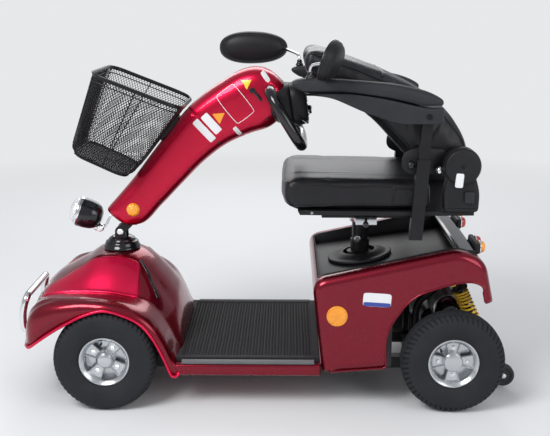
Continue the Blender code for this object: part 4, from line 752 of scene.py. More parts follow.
@dataclass
class FrontBody:
    """Hood, flared arches and knee shield, with its side panels, trims, bumper and boot; side panels and arch beads
    take a lighter copy of the body red as painted highlight.
    """

    wall: float = 0.0035
    # Columns: x from the axle, centre height, then (y, z) of hood edge, crease, flare top and lip
    rows: tuple[tuple[float, ...], ...] = (
        (0.250, 0.170, 0.070, 0.170, 0.115, 0.174, 0.150, 0.181, 0.172, 0.178),
        (0.247, 0.232, 0.072, 0.230, 0.128, 0.222, 0.185, 0.210, 0.215, 0.176),
        (0.238, 0.272, 0.074, 0.268, 0.145, 0.256, 0.222, 0.246, 0.252, 0.177),
        (0.220, 0.306, 0.075, 0.300, 0.160, 0.286, 0.250, 0.284, 0.282, 0.188),
        (0.190, 0.334, 0.075, 0.328, 0.170, 0.306, 0.262, 0.312, 0.298, 0.211),
        (0.150, 0.357, 0.076, 0.350, 0.176, 0.316, 0.268, 0.327, 0.306, 0.238),
        (0.100, 0.384, 0.080, 0.377, 0.180, 0.320, 0.272, 0.333, 0.311, 0.268),
        (0.054, 0.408, 0.084, 0.405, 0.182, 0.320, 0.274, 0.334, 0.312, 0.291),
        (0.000, 0.412, 0.084, 0.412, 0.184, 0.318, 0.274, 0.330, 0.312, 0.306),
        (-0.070, 0.410, 0.084, 0.394, 0.184, 0.306, 0.272, 0.314, 0.312, 0.288),
        (-0.105, 0.390, 0.094, 0.363, 0.190, 0.300, 0.278, 0.296, 0.311, 0.268),
        (-0.140, 0.354, 0.107, 0.322, 0.198, 0.276, 0.278, 0.268, 0.309, 0.226),
        (-0.172, 0.316, 0.118, 0.280, 0.200, 0.232, 0.274, 0.216, 0.304, 0.160),
        (-0.194, 0.280, 0.125, 0.243, 0.200, 0.186, 0.268, 0.166, 0.299, 0.106),
        (-0.206, 0.240, 0.130, 0.207, 0.200, 0.158, 0.266, 0.146, 0.296, 0.104),
        (-0.213, 0.190, 0.132, 0.172, 0.200, 0.142, 0.264, 0.132, 0.290, 0.110),
        (-0.218, 0.120, 0.132, 0.119, 0.200, 0.118, 0.262, 0.117, 0.288, 0.116),
    )
    count: int = 150
    surface: Any = field(default=None, init=False)

    def half(self) -> Array:
        """Left half of the skin: the table's rows joined smoothly from nose to floor, each section
        a polyline through its edges with rounded corners.

        Returns:
            Points (rows, columns, 3), from the centre line to the lip.
        """
        x, top, hood_y, hood_z, crease_y, crease_z, flare_y, flare_z, lip_y, lip_z = curve(self.rows, self.count).T
        section = np.stack([
            (0 * x, top), (hood_y * 0.6, top - (top - hood_z) * 0.3), (hood_y, hood_z),
            ((hood_y + crease_y) / 2, (hood_z + crease_z) / 2 + 0.006), (crease_y, crease_z), (flare_y, flare_z),
            (flare_y + (lip_y - flare_y) * 0.75, flare_z - (flare_z - lip_z) * 0.25), (lip_y, lip_z),
        ]).transpose(2, 0, 1)
        smooth = fillet(section, [0, 0.025, 0.012, 0.03, 0.012, 0.022, 0.012, 0], 8)
        past = smooth[..., 0] - crease_y[:, None]
        fold = np.clip((x - 0.13) / 0.05, 0, 1)[:, None] * np.clip(past / 0.02, 0, 1)
        smooth[..., 1] += 0.0035 * fold * np.sin(past * 190)
        place = np.broadcast_to((FRONT_AXLE + x)[:, None, None], (*smooth.shape[:2], 1))
        return np.concatenate([place, smooth], -1)

    def at(self, u: Any, v: Any) -> Array:
        """Points of the left skin by shares along (0 nose, 1 floor) and across (0 centre, 1 lip)."""
        a, b = (
            np.clip(np.asarray(share, float) * (count - 1), 0, count - 1.001)
            for share, count in zip((u, v), self.surface.shape)
        )
        i, j = a.astype(int), b.astype(int)
        s, t = (a - i)[..., None], (b - j)[..., None]
        near = self.surface[i, j] * (1 - t) + self.surface[i, j + 1] * t
        far = self.surface[i + 1, j] * (1 - t) + self.surface[i + 1, j + 1] * t
        return near * (1 - s) + far * s

    def share(self, x: float) -> float:
        """Share along the skin at a distance from the axle."""
        line = self.surface[:, 0, 0] - FRONT_AXLE
        return float(np.interp(-x, -line, np.linspace(0, 1, len(line))))

    def raised(self, u: Array, v: Array, lift: Any) -> Array:
        """Points of the skin moved outwards along its normals by a distance."""
        step = 0.004
        along = self.at(u + step, v) - self.at(u - step, v)
        across = self.at(u, v + step) - self.at(u, v - step)
        normal = unit(np.cross(across, along))
        normal *= np.where(normal[..., 1:2] * 0.4 + normal[..., 2:] < 0, -1.0, 1.0)
        return self.at(u, v) + normal * np.asarray(lift)[..., None]

    def panel(self) -> Shape:
        """Side panel, coloured with a lighter copy of the body red as painted highlight: a patch of the skin between
        hood edge and crease with rounded ends, lifted by a flat-topped dome that meets the skin at its rim.

        Returns:
            The left one.
        """
        a, b = np.linspace(0, 1, 90)[:, None], np.linspace(0, 1, 40)[None]
        front, rear = self.share(0.205), self.share(-0.086)
        u = front + (rear - front) * a + 0 * b
        nose = np.sqrt(np.clip(1 - (1 - np.clip(a / 0.55, 0, 1)) ** 2, 0, 1))
        tail = np.sqrt(np.clip(1 - np.clip((a - 0.94) / 0.06, 0, 1) ** 2, 0, 1))
        open_share = np.clip(nose * tail, 0.02, 1)
        low, high = 0.300 + (1 - open_share) * 0.24, 0.600 - (1 - open_share) * 0.03
        v = low + (high - low) * b
        edge = np.minimum(np.minimum(b, 1 - b) * open_share * 14, np.minimum(a, 1 - a) * 26)
        top = self.raised(u, v, 0.0045 * np.clip(edge, 0, 1) ** 0.5 - 0.0012)
        return Shape.grid(np.concatenate([top, self.raised(u, v, -0.0016)[:, ::-1]], 1), caps="flat")

    def strip(self, ends: Sequence[Pair], wide: float, lift: float) -> Shape:
        """Flat bar laid on the skin through (x from the axle, share across) places.

        Args:
            ends: The places.
            wide: Width in metres.
            lift: How far it stands out.

        Returns:
            The left one.
        """
        u, v = curve([(self.share(x), v) for x, v in ends], 40).T
        middle = self.raised(u, v, 0.0)
        out = unit(self.raised(u, v, 0.01) - middle)[:, None]
        side = unit(np.cross(out[:, 0], np.gradient(middle, axis=0)))[:, None]
        section = ring(16, wide / 2, lift, 4.0)[None]
        return Shape.grid(middle[:, None] + section[..., :1] * side + section[..., 1:] * out, caps="fan")

    def bumper(self) -> Shape:
        """Round bar out of the nose, up one leg, across and down the other."""
        front = FRONT_AXLE + 0.290 - 0.011
        half = np.array([
            (front - 0.056, 0.120, 0.198), (front, 0.126, 0.176), (front, 0.126, 0.241), (front - 0.0145, 0.122, 0.290),
        ])
        path = np.concatenate([half, half[::-1] * (1, -1, 1)])
        return Shape.sweep(fillet(path, 0.026, 12), ring(24, 0.0108), up=(1, 0, 0.02))

    def boot(self) -> Shape:
        """Stepped dome round the column."""
        return Shape.turned([
            (0.0145, 0.0), (0.058, 0.0), (0.058, 0.005), (0.0535, 0.012), (0.0500, 0.022), (0.0430, 0.0245),
            (0.0410, 0.0300), (0.0300, 0.0375), (0.0145, 0.0380),
        ], 0.004, 6, (FRONT_AXLE - 0.010, 0, 0.4123), UP, 64, loop=True)

    def build(self) -> None:
        """Makes the front body's pieces."""
        self.surface = left = self.half()
        skin = Shape.grid(whole(left), cols_close=False)
        skin.put("hood_skin", RED, "chassis", ["front_body"], 60, wall=self.wall)
        trim = self.strip([(-0.080, 0.22), (-0.100, 0.30), (-0.142, 0.45)], 0.010, 0.0022)
        bead = Shape.sweep(left[2:-8, -1] + (0, 0.0004, 0), ring(12, 0.0042), up=(0, 1, 0))
        for side in Side:
            # painted highlight: the side panel takes a lighter copy of the body red
            self.panel().on(side).put(f"hood_panel_{side.word}", RED_LIT, "chassis", sharp=50)
            trim.on(side).put(f"hood_trim_{side.word}", GLOSS, "chassis")
            # painted highlight: the arch bead takes the same lighter copy of the body red
            bead.on(side).put(f"arch_bead_{side.word}", RED_LIT, "chassis")
        self.bumper().put("bumper_bar", CHROME, "chassis", ["bumper"])
        self.boot().put("boot_dome", GLOSS, "chassis", ["column_boot"])


@dataclass
class Deck:
    """Floor tray between the body mouldings, its grey edge trim and ribbed mat."""

    rear: float = -0.1590
    front: float = 0.2765
    half: float = 0.290
    mat_half: float = 0.2690
    low: float = 0.101
    high: float = 0.139
    ribs: int = 46

    def mat(self, low: Array, high: Array) -> Shape:
        """Mat: a grid whose height is a row of ribs broken into short blocks, with a plain border.

        Args:
            low: Its lowest corner.
            high: Its highest corner.

        Returns:
            The closed shape.
        """
        x, y = (np.linspace(low[k], high[k], 300) for k in range(2))
        across, along = (x - low[0]) / (high[0] - low[0]), (y - low[1]) / (high[1] - low[1])
        rib = np.clip(np.sin(across * self.ribs * 2 * np.pi) * 2, 0, 1)[:, None]
        shift = 0.5 * (np.floor(across * self.ribs) % 2)[:, None]
        block = np.clip(np.sin((along[None] * 64 + shift) * 2 * np.pi) * 2 + 1.2, 0, 1)
        edge = np.minimum(np.minimum(across, 1 - across)[:, None] * 22, np.minimum(along, 1 - along)[None] * 26)
        inside, rim = np.clip((edge - 1) * 6, 0, 1), np.clip(edge * 8, 0, 1)
        z = high[2] - 0.0036 + 0.0034 * rib * block * inside - 0.006 * (1 - rim) ** 2 + 0.0030 * (1 - inside) * rim
        top = np.stack(np.broadcast_arrays(x[:, None], y[None], z), -1)
        under = top[:, [-1, 0]] * (1, 1, 0) + (0, 0, low[2])
        return Shape.grid(np.concatenate([top, under], 1), caps="flat")

    def build(self) -> None:
        """Makes the deck's pieces."""
        rear, front, low, high = self.rear, self.front, self.low, self.high
        outline = np.array([(rear, low), (front, low), (front, high), (rear, high)])
        tray = Shape.extrude(outline, eased(-self.half, self.half, 0.012, 8))
        tray.put("deck_tray", RED, "chassis", ["floor_tray"])
        bottom, top = (corner[2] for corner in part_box("floor_mat"))
        mat = self.mat((rear + 0.002, -self.mat_half, bottom), (front - 0.006, self.mat_half, top))
        mat.put("deck_mat", MAT, "chassis", ["floor_mat"], 30)
        y, z = self.half - 0.010, high + 0.004
        trim = Shape.sweep(np.linspace((rear + 0.02, y, z), (front - 0.032, y, z), 12), ring(20, 0.0088, 0.0055, 4.0))
        for side in Side:
            trim.on(side).put(f"deck_trim_{side.word}", TRIM, "chassis")


@dataclass
class RearBody:
    """Rear moulding over the wheels with its black top panel, painted shade of the seat on the red top, and its
    reflectors, bar, lights and plate.
    """

    half: float = 0.290
    rim: float = 0.024
    wall: float = 0.004
    recess: Pair = (0.392, -0.065)
    recess_half: float = 0.238
    bar_half: float = 0.2374
    dish_x: float = -0.286
    # Upper outline and lower edge of the side, x from the axle and height, with the reach of each corner
    upper: tuple[Pair, ...] = ((0.3765, 0.116), (0.4075, 0.388), (-0.012, 0.480), (-0.0832, 0.447), (-0.1089, 0.331))
    upper_reach: tuple[float, ...] = (0, 0.041, 0.034, 0.034, 0)
    lower: tuple[Pair, ...] = (
        (0.3540, 0.117), (0.330, 0.119), (0.192, 0.130), (0.1975, 0.235), (0.125, 0.345), (0.010, 0.385),
        (-0.050, 0.391), (-0.082, 0.374),
    )
    lower_reach: tuple[float, ...] = (0, 0.02, 0.006, 0.05, 0.05, 0.06, 0.02, 0)

    def tray(self, x: Any) -> Any:
        """Height of the recessed panel at a distance from the axle."""
        return 0.362 + (0.4075 - x) * 0.15

    def walk(self, points: Any, reach: Any, at: Array) -> Array:
        """Points at shares of a rounded polyline's length."""
        line = fillet(points, reach, 48)
        place = lengths(line)
        return np.stack([np.interp(at * place[-1], place, line[:, k]) for k in range(2)], 1)

    def stations(self) -> tuple[Array, Array, Array]:
        """Shares along the upper outline, with its points and its inward normals, evened by a running mean."""
        dense = np.linspace(0, 1, 2001)
        line = self.walk(self.upper, self.upper_reach, dense)
        top = dense > 0.31
        edges = [x for edge in self.recess for x in (edge, edge - 0.0015)]
        marks = [float(np.interp(-x, -line[top, 0], dense[top])) for x in edges]
        finer = [np.linspace(0, 1, 110), np.linspace(0.27, 0.34, 24), np.linspace(0.74, 0.90, 40)]
        at = np.unique(np.concatenate([*finer, marks]))
        points = self.walk(self.upper, self.upper_reach, at)
        reach = 15
        share = np.full(2 * reach + 1, 1 / (2 * reach + 1))
        even = [np.convolve(np.pad(part, reach, mode="edge"), share, "valid") for part in np.gradient(line, axis=0).T]
        ahead = unit(np.stack([np.interp(at, dense, part) for part in even], 1))
        return at, points, np.stack([-ahead[:, 1], ahead[:, 0]], 1)

    def skin(self) -> Array:
        """Left half: the upper outline carried outwards, turned over a quarter circle, then ruled down
        to the lower edge.

        Returns:
            Points (rows, columns, 3).
        """
        at, points, inward = self.stations()
        flat_half = self.half - self.rim
        y = np.concatenate([np.linspace(0, 0.2360, 8), [0.2380, 0.2395], np.linspace(0.246, flat_half, 4)])
        x, z = (np.broadcast_to(points[:, k:k + 1], (len(at), len(y))) for k in range(2))
        high, low = self.recess
        inside = (x < high - 0.001) & (x > low + 0.001) & (z > 0.3) & (y[None] < self.recess_half + 0.0005)
        flat = np.stack([x, np.broadcast_to(y, x.shape), np.where(inside, self.tray(x), z)], -1)
        turn = np.linspace(0, np.pi / 2, 10)[1:]
        moved = points[:, None] + inward[:, None] * (self.rim * (1 - np.cos(turn)))[None, :, None]
        over = upright(moved, self.half - self.rim * (1 - np.sin(turn)))
        share = np.interp(at, [0, 0.304, 0.781, 0.868, 1], [0, 0.050, 0.86, 0.95, 1])
        edge = self.walk(self.lower, self.lower_reach, share)
        t = np.linspace(0, 1, 12)[None, 1:, None]
        panel = upright(moved[:, -1:] * (1 - t) + edge[:, None] * t, self.half)
        return np.concatenate([flat, over, panel], 1) + (REAR_AXLE, 0, 0)

    def liner(self) -> Shape:
        """Black panel lining the recess, turned up and over its side edges; its black is painted shade of the seat
        falling on the red top.

        Returns:
            The open sheet.
        """
        at, points, _ = self.stations()
        front, rear = self.recess
        keep = (at > 0.30) & (points[:, 0] <= front - 0.0015) & (points[:, 0] >= rear + 0.0015)
        x, top = points[keep].T
        # Y, and the share of the recess's depth that the panel has risen
        y, rise = np.array([
            (0.0, 0.0), (0.20, 0.0), (0.2290, 0.0), (0.2335, 0.004), (0.2362, 0.02), (0.2372, 1.0), (0.2385, 1.06),
            (0.2440, 1.07), (0.2470, 1.04), (0.2478, 0.98),
        ]).T
        low = self.tray(x)[:, None] + 0.0012
        z = low + (top[:, None] - low) * np.minimum(rise, 1) + np.clip(rise - 1, -1, 1) * 0.03 * (rise > 0.97)
        ends = np.minimum(x - x.min(), x.max() - x)[:, None]
        z = np.where((ends < 0.003) & (y[None] < 0.2372), np.maximum(z, top[:, None] - 0.001), z)
        half = np.stack(np.broadcast_arrays(x[:, None] + REAR_AXLE, y, z), -1)
        return Shape.grid(whole(half), cols_close=False)

    def reflector(self, side: Side) -> Shape:
        """Round lens whose face stands in twelve sectors, high and low in turn, inside a plain rim."""
        steps = 96
        sector = np.floor(np.arange(steps) / 8) % 2
        rows = np.array([
            (0.0300, 0.0), (0.0300, 0.0040), (0.0288, 0.0056), (0.0270, 0.0056), (0.0262, 0.0042), (0.0255, 0.0042),
            (0.0255, 0.0048), (0.0020, 0.0052), (0.0, 0.0052),
        ])
        radius, height = np.hsplit(rows, 2)
        lift = np.where((radius < 0.0256) & (height > 0.0045), sector[None] * 0.0011, 0.0)
        at = (REAR_AXLE + 0.3355, side.value * (self.half + 0.0003), 0.288)
        return Shape.lathe((radius + 0 * lift, height + lift), at, side.out, steps)

    def plate(self, centre: Pair, size: Pair, shift: float = 0.0) -> Shape:
        """Thin blank plate on the left side face, its corners rounded."""
        lean, thick = 0.06, 0.0009
        corners = spun(ring(40, size[0] / 2, size[1] / 2, 7.0), lean) + centre
        return Shape.extrude(corners, [(self.half + shift, 0), (self.half + shift + thick, 0)])

    def lamps(self, side: Side) -> None:
        """Housing on the rear slope with a red and an amber lens."""
        sign, word = side.value, side.word
        low, high = (corner[2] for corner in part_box(f"rear_light_{word}"))
        x, z = REAR_AXLE - 0.0800, (low + high) / 2
        corners = [(x + 0.019, low + 0.002), (x + 0.0015, low + 0.001), (x, high - 0.002), (x + 0.015, high - 0.001)]
        housing = Shape.extrude(fillet(corners, 0.006, 6, True), eased(*sorted((sign * 0.094, sign * 0.212)), 0.004, 5))
        housing.put(f"lamp_housing_{word}", BLACK, "chassis", [f"rear_light_{word}"])
        lens = [(0.0, -0.002), (0.0178, -0.002), (0.0178, 0.006), (0.0150, 0.0145), (0.0070, 0.0180), (0.0, 0.0184)]
        bezel = [(0.0180, -0.001), (0.0196, -0.001), (0.0196, 0.003), (0.0180, 0.0042)]
        for y, finish, tag in ((0.124, LAMP_RED, "tail"), (0.184, AMBER, "turn")):
            place = ((x + 0.0005, sign * y, z - 0.0005), (-1, 0, 0), 40)
            Shape.turned(lens, 0.0025, 5, *place).put(f"{tag}_lens_{word}", finish, "chassis")
            Shape.turned(bezel, 0.0006, 3, *place, loop=True).put(f"{tag}_ring_{word}", CHROME, "chassis")

    def build(self) -> None:
        """Makes the rear body's pieces."""
        left = self.skin()
        skin = Shape.grid(whole(left), cols_close=False)
        skin.put("rear_skin", RED, "chassis", ["rear_body"], 45, wall=self.wall)
        # painted shade: a black sheet on the recessed top where the seat's shade falls
        self.liner().put("top_panel_painted_shade", BLACK, "chassis", sharp=45, wall=0.0010)
        bead = Shape.sweep(left[:, -1] + (0, -0.0015, 0), ring(10, 0.0030), up=(0, 1, 0))
        for side in Side:
            lens = self.reflector(side)
            lens.put(f"reflector_lens_{side.word}", AMBER, "chassis", [f"reflector_{side.word}"], 12)
            bead.on(side).put(f"side_bead_{side.word}", RED, "chassis")
            self.lamps(side)
        self.plate((-0.316, 0.336), (0.080, 0.040)).put("blank_plate", WHITE, "chassis")
        self.plate((-0.3155, 0.3225), (0.077, 0.012), 0.0003).put("blank_plate_blue", STICKER_BLUE, "chassis")
        y = np.linspace(-self.bar_half, self.bar_half, 40)
        path = np.stack([np.full_like(y, REAR_AXLE - 0.034), y, 0.460 + 0.003 * (1 - (y / self.bar_half) ** 2)], 1)
        Shape.sweep(path, ring(40, 0.0258, 0.0100, 4.0)).put("rear_bar", GLOSS, "chassis", ["rear_handle"])
        dish = [
            (0.0485, 0.0), (0.096, 0.0), (0.100, 0.005), (0.097, 0.012), (0.088, 0.0095), (0.080, 0.0110),
            (0.060, 0.0195), (0.0485, 0.0220),
        ]
        at = (self.dish_x, 0, self.tray(self.dish_x - REAR_AXLE) + 0.0012)
        dish_ring = Shape.turned(dish, 0.0045, 6, at, (0.15, 0, 1), 80, loop=True)
        dish_ring.put("dish_ring", BLACK, "chassis", ["seat_dish"])


@dataclass
class Suspension:
    """Coil springs, motor dome and the anti-tip rollers."""

    top: Point = (REAR_AXLE - 0.022, 0, 0.352)
    foot: Point = (REAR_AXLE - 0.098, 0, 0.190)
    coil: float = 0.0198
    wire: float = 0.0034
    turns: int = 13

    def spring(self, side: Side) -> Shape:
        """Helix: the damper's line plus cosine and sine of the turn across it, its end turns closer together."""
        low, high = np.array(self.foot), np.array(self.top)
        up, length = unit(high - low), float(np.linalg.norm(high - low))
        t = np.linspace(0, 1, self.turns * 26)
        along = 0.0205 + (length - 0.0388) * (t - 0.035 * np.sin(2 * np.pi * t))
        c, s = circle(t * self.turns * 2 * np.pi).T[..., None]
        line = low + (0, side.value * 0.190, 0) + up * along[:, None]
        line = line + self.coil * (c * np.cross(up, (0, 1, 0)) + s * (0.0, 1.0, 0.0))
        return Shape.sweep(line, ring(10, self.wire), up=up)

    def build(self) -> None:
        """Makes the suspension's pieces."""
        for side in Side:
            self.spring(side).put(f"coil_{side.word}", YELLOW, "chassis", [f"spring_{side.word}"])
        dome = [(0.0, 0.0), (0.0508, 0.0), (0.0508, 0.050), (0.044, 0.072), (0.022, 0.081), (0.0, 0.082)]
        left = Side.LEFT.out
        Shape.turned(dome, 0.012, 8, (REAR_AXLE - 0.014, 0.100, 0.243), left, 56).put("motor_dome", GLOSS, "chassis")
        roller = [
            (0.0068, -0.0125), (0.030, -0.0125), (0.0338, -0.009), (0.0338, 0.009), (0.030, 0.0125), (0.0235, 0.0125),
            (0.0225, 0.0095), (0.0125, 0.0095), (0.0115, 0.0125), (0.0068, 0.0125),
        ]
        for side in Side:
            centre, body = np.array([-0.7225, side.value * 0.130, 0.046]), f"anti_tip_wheel_{side.word}"
            wheel = Shape.turned(roller, 0.002, 5, centre, side.out, 64, loop=True)
            wheel.put(f"roller_{side.word}", ROLLER, body, [body])
            nut = Shape.hexagon(centre + (0, side.value * 0.0132, 0), side.out, 0.0062, 0.004)
            nut.put(f"roller_nut_{side.word}", CHROME, "chassis")


LEAN = math.radians(43.8)
COLUMN_X = FRONT_AXLE - 0.010
TILT_Z = 0.468
SEAT_X = -0.286


def tiller(along: Any, across: Any, y: Any = 0.0) -> Array:
    """World points from distances along the tiller, across it towards the front, and Y."""
    u, v, w = np.broadcast_arrays(*(np.asarray(part, float) for part in (along, across, y)))
    x = COLUMN_X - math.sin(LEAN) * u + math.cos(LEAN) * v
    return np.stack([x, w, TILT_Z + math.cos(LEAN) * u + math.sin(LEAN) * v], -1)


@dataclass
class Tiller:
    """Curved tiller with its head, console, steering loop, headlamp, indicators and blank plates."""

    power: float = 3.2
    loop_tube: float = 0.0163
    # Columns: distance along, rear side, front side, half width
    rows: tuple[tuple[float, ...], ...] = (
        (0.0205, 0.034, 0.070, 0.018), (0.024, 0.018, 0.076, 0.036), (0.036, -0.010, 0.078, 0.048),
        (0.066, -0.032, 0.079, 0.053), (0.150, -0.036, 0.083, 0.055), (0.250, -0.036, 0.094, 0.058),
        (0.345, -0.038, 0.103, 0.062), (0.430, -0.052, 0.108, 0.068), (0.500, -0.080, 0.100, 0.074),
        (0.560, -0.110, 0.087, 0.079), (0.600, -0.114, 0.077, 0.080), (0.636, -0.106, 0.060, 0.077),
        (0.662, -0.088, 0.036, 0.068), (0.676, -0.064, 0.006, 0.052), (0.679, -0.050, -0.010, 0.034),
    )
    # Blank plates on the left side: name, place, wide, tall, lean, squareness
    labels: tuple[tuple[Any, ...], ...] = (
        ("label_upper", (0.447, 0.026), 0.025, 0.068, -0.07, 12.0),
        ("label_lower", (0.4165, 0.027), 0.022, 0.080, -0.05, 12.0),
        ("label_small", (0.484, -0.045), 0.013, 0.030, -0.12, 7.0),
        ("label_oval", (0.658, 0.006), 0.014, 0.036, -0.18, 3.4),
    )
    # Blank warning shapes: name, place, size, lean, finish
    triangles: tuple[tuple[Any, ...], ...] = (
        ("triangle_lower", (0.4775, 0.0234), 0.0215, 0.34, STICKER_ORANGE),
        ("triangle_upper", (0.6060, 0.0330), 0.0185, 0.31, STICKER_YELLOW),
    )
    # Screws of the cover, along and across
    screws: tuple[Pair, ...] = ((0.5719, -0.0838), (0.420, -0.030), (0.300, -0.022), (0.160, -0.022))

    def cover(self) -> Shape:
        """Sections of a rounded square joined smoothly from foot to head, with a fine seam groove
        round the head where its halves meet.

        Returns:
            The shape.
        """
        along, rear, front, half = curve(self.rows, 150).T[..., None]
        a, b = ring(112, power=self.power).T[:, None]
        seam = 0.0012 * np.exp(-(((along + a * 0.035 - 0.455) / 0.0022) ** 2))
        across = (rear + front) / 2 + ((front - rear) / 2 - seam) * a
        return Shape.grid(tiller(along, across, (half - seam) * b), caps="fan")

    def flank(self, along: Any, across: Any) -> Any:
        """Half width of the cover at places on its left side."""
        table = curve(self.rows, 150)
        rear, front, half = (np.interp(along, table[:, 0], table[:, k]) for k in (1, 2, 3))
        share = np.clip(np.abs((across - (rear + front) / 2) / ((front - rear) / 2)), 0, 0.999)
        return half * (1 - share**self.power) ** (1 / self.power)

    def plate(self, name: str, finish: Finish, centre: Pair, outline: Array, lift: float = 0.0007) -> None:
        """Makes a thin plate on the left side: an outline shrunk towards its middle, raised by a distance.

        Args:
            name: Its name.
            finish: Its finish.
            centre: Its place along and across.
            outline: Points (n, 2).
            lift: How far it stands out.
        """
        scale = np.array([1.0, 1.0, 0.85, 0.7, 0.55, 0.4, 0.25, 0.1])[:, None, None]
        u, v = np.moveaxis(np.asarray(centre) + scale * outline[None], -1, 0)
        rise = np.array([-0.0006] + [lift] * 7)[:, None]
        Shape.grid(tiller(u, v, self.flank(u, v) + rise), caps="fan").put(name, finish, "tiller")

    def plates(self) -> None:
        """Blank plates and warning shapes on the left side, with no marks on them, the catch and the screws."""
        corners = spun(ring(40, 0.033, 0.0525, 40.0), -0.12)[[2, 12, 22, 32]]
        u, v = curve(np.array((0.5393, 0.0149)) + fillet(corners, 0.008, 8, True), 120, True).T
        around = tiller(u, v, self.flank(u, v) + 0.0003)
        frame_line = Shape.sweep(around, ring(6, 0.0010, 0.0007), (0, 1, 0), closed=True)
        frame_line.put("plate_outline", WHITE, "tiller")
        for name, centre, wide, tall, lean, power in self.labels:
            self.plate(name, WHITE, centre, spun(ring(40, wide / 2, tall / 2, power), lean))
        for name, centre, size, lean, finish in self.triangles:
            corners = circle(lean + np.radians([90, 210, 330])) * size
            self.plate(name, finish, centre, fillet(corners, size * 0.18, 6, True))
        self.plate("catch_base", BLACK, (0.6035, 0.006), ring(32, 0.0085), 0.003)
        out = self.flank(0.602, -0.013) + np.array([0.004, 0.007, 0.006])
        lever = curve(tiller([0.6035, 0.6040, 0.5997], [0.006, -0.013, -0.033], out), 12)
        Shape.sweep(lever, ring(12, 0.0045, 0.0024), up=(0, 1, 0)).put("catch_lever", GLOSS, "tiller")
        joined(
            Shape.screw(tiller(u, v, side.value * (float(self.flank(u, v)) - 0.0008)), side.out, 0.0042)
            for u, v in self.screws for side in Side
        ).put("cover_screws", BLACK, "tiller")

    def face(self, back: Any, v: Any, y: Any = 0.0) -> Array:
        """Points from the console's own directions: out from the head, along its face and Y."""
        c, s = math.cos(math.radians(-38)), math.sin(math.radians(-38))
        back, v, y = (np.asarray(part, float) for part in (back, v, y))
        return tiller(0.6475 + back * c - v * s, -0.1115 + back * s + v * c, y)

    def console(self) -> None:
        """Dash with its hood, gauge window, dial, key switch, buttons and levers."""
        # Columns: distance out, shift along the face, half depth, half width
        dash = (
            (0.0, 0.004, 0.062, 0.070), (0.012, 0.002, 0.064, 0.072), (0.034, -0.002, 0.0585, 0.067),
            (0.043, -0.0035, 0.053, 0.061), (0.046, -0.004, 0.045, 0.053),
        )
        hood = (
            (-0.062, 0.016, 0.046, 0.0795), (-0.050, 0.012, 0.054, 0.0818), (-0.020, 0.006, 0.0615, 0.0822),
            (-0.004, 0.004, 0.0635, 0.0775), (0.002, 0.004, 0.060, 0.070),
        )
        a, b = ring(80, power=3.2).T[:, None]
        for name, rows, over in (("dash", dash, ["console"]), ("dash_hood", hood, ())):
            out, shift, depth, half = curve(rows, 26).T[..., None]
            Shape.grid(self.face(out, shift + depth * a, half * b), caps="fan").put(name, BLACK, "tiller", over)
        away = unit(self.face(1.0, 0) - self.face(0.0, 0))
        knob = [(0.0, 0.0), (0.0175, 0.0), (0.0175, 0.002), (0.0135, 0.003), (0.0125, 0.011), (0.0, 0.012)]
        Shape.turned(knob, 0.001, 4, self.face(0.0455, -0.022), away, 40).put("dial", GLOSS, "tiller")
        mark = [self.face(0.0585, -0.012 - 0.008 * t) for t in (0, 0.5, 1)]
        Shape.sweep(mark, ring(8, 0.0012, 0.0008), up=away).put("dial_mark", WHITE, "tiller")
        a, b = ring(40, 0.014, 0.030, 6.0).T[:, None]
        out, deep, wide = np.array([(0.0445, 1.0, 1.0), (0.0480, 0.96, 0.98), (0.0484, 0.9, 0.9)]).T[..., None]
        Shape.grid(self.face(out, 0.016 + a * deep, b * wide), caps="fan").put("gauge", GLOSS, "tiller")
        lock = [(0.0, 0.0), (0.0085, 0.0), (0.0085, 0.004), (0.0060, 0.005), (0.0055, 0.003), (0.0, 0.003)]
        Shape.turned(lock, 0.0006, 3, self.face(0.0445, -0.026, 0.034), away, 28).put("key_switch", CHROME, "tiller")
        button = [(0.0, 0.0), (0.0060, 0.0), (0.0060, 0.003), (0.0, 0.0042)]
        for k, (v, y, finish) in enumerate(((-0.030, -0.032, STICKER_YELLOW), (-0.012, -0.036, LAMP_RED))):
            Shape.turned(button, 0.001, 4, self.face(0.0445, v, y), away, 24).put(f"button_{k}", finish, "tiller")
        for side in Side:
            y = side.value * np.array([0.060, 0.085, 0.112, 0.138])
            path = curve(self.face([0.020, 0.024, 0.034, 0.040], [-0.030, -0.034, -0.040, -0.041], y), 24)
            lever = Shape.sweep(path, ring(14, 0.0042, 0.0028, 3.0), scale=np.linspace(1, 1.25, 24), up=away)
            lever.put(f"thumb_lever_{side.word}", GLOSS, "tiller")

    def loop(self) -> Shape:
        """Round bar from the head's sides out, down and across below the console."""
        y, t = np.array([(0.0777, 0.0), (0.1595, 0.0), (0.1855, 0.40), (0.1707, 0.98), (0.060, 1.02)]).T
        half = tiller(0.640 - 0.048 * t, -0.030 - 0.176 * t, y)
        path = fillet(np.concatenate([half, half[::-1] * (1, -1, 1)]), 0.052, 12)
        normal = np.cross((0.0, 1.0, 0.0), unit(half[3] - half[0]) * (1, 0, 1))
        return Shape.sweep(path, ring(24, self.loop_tube), up=normal)

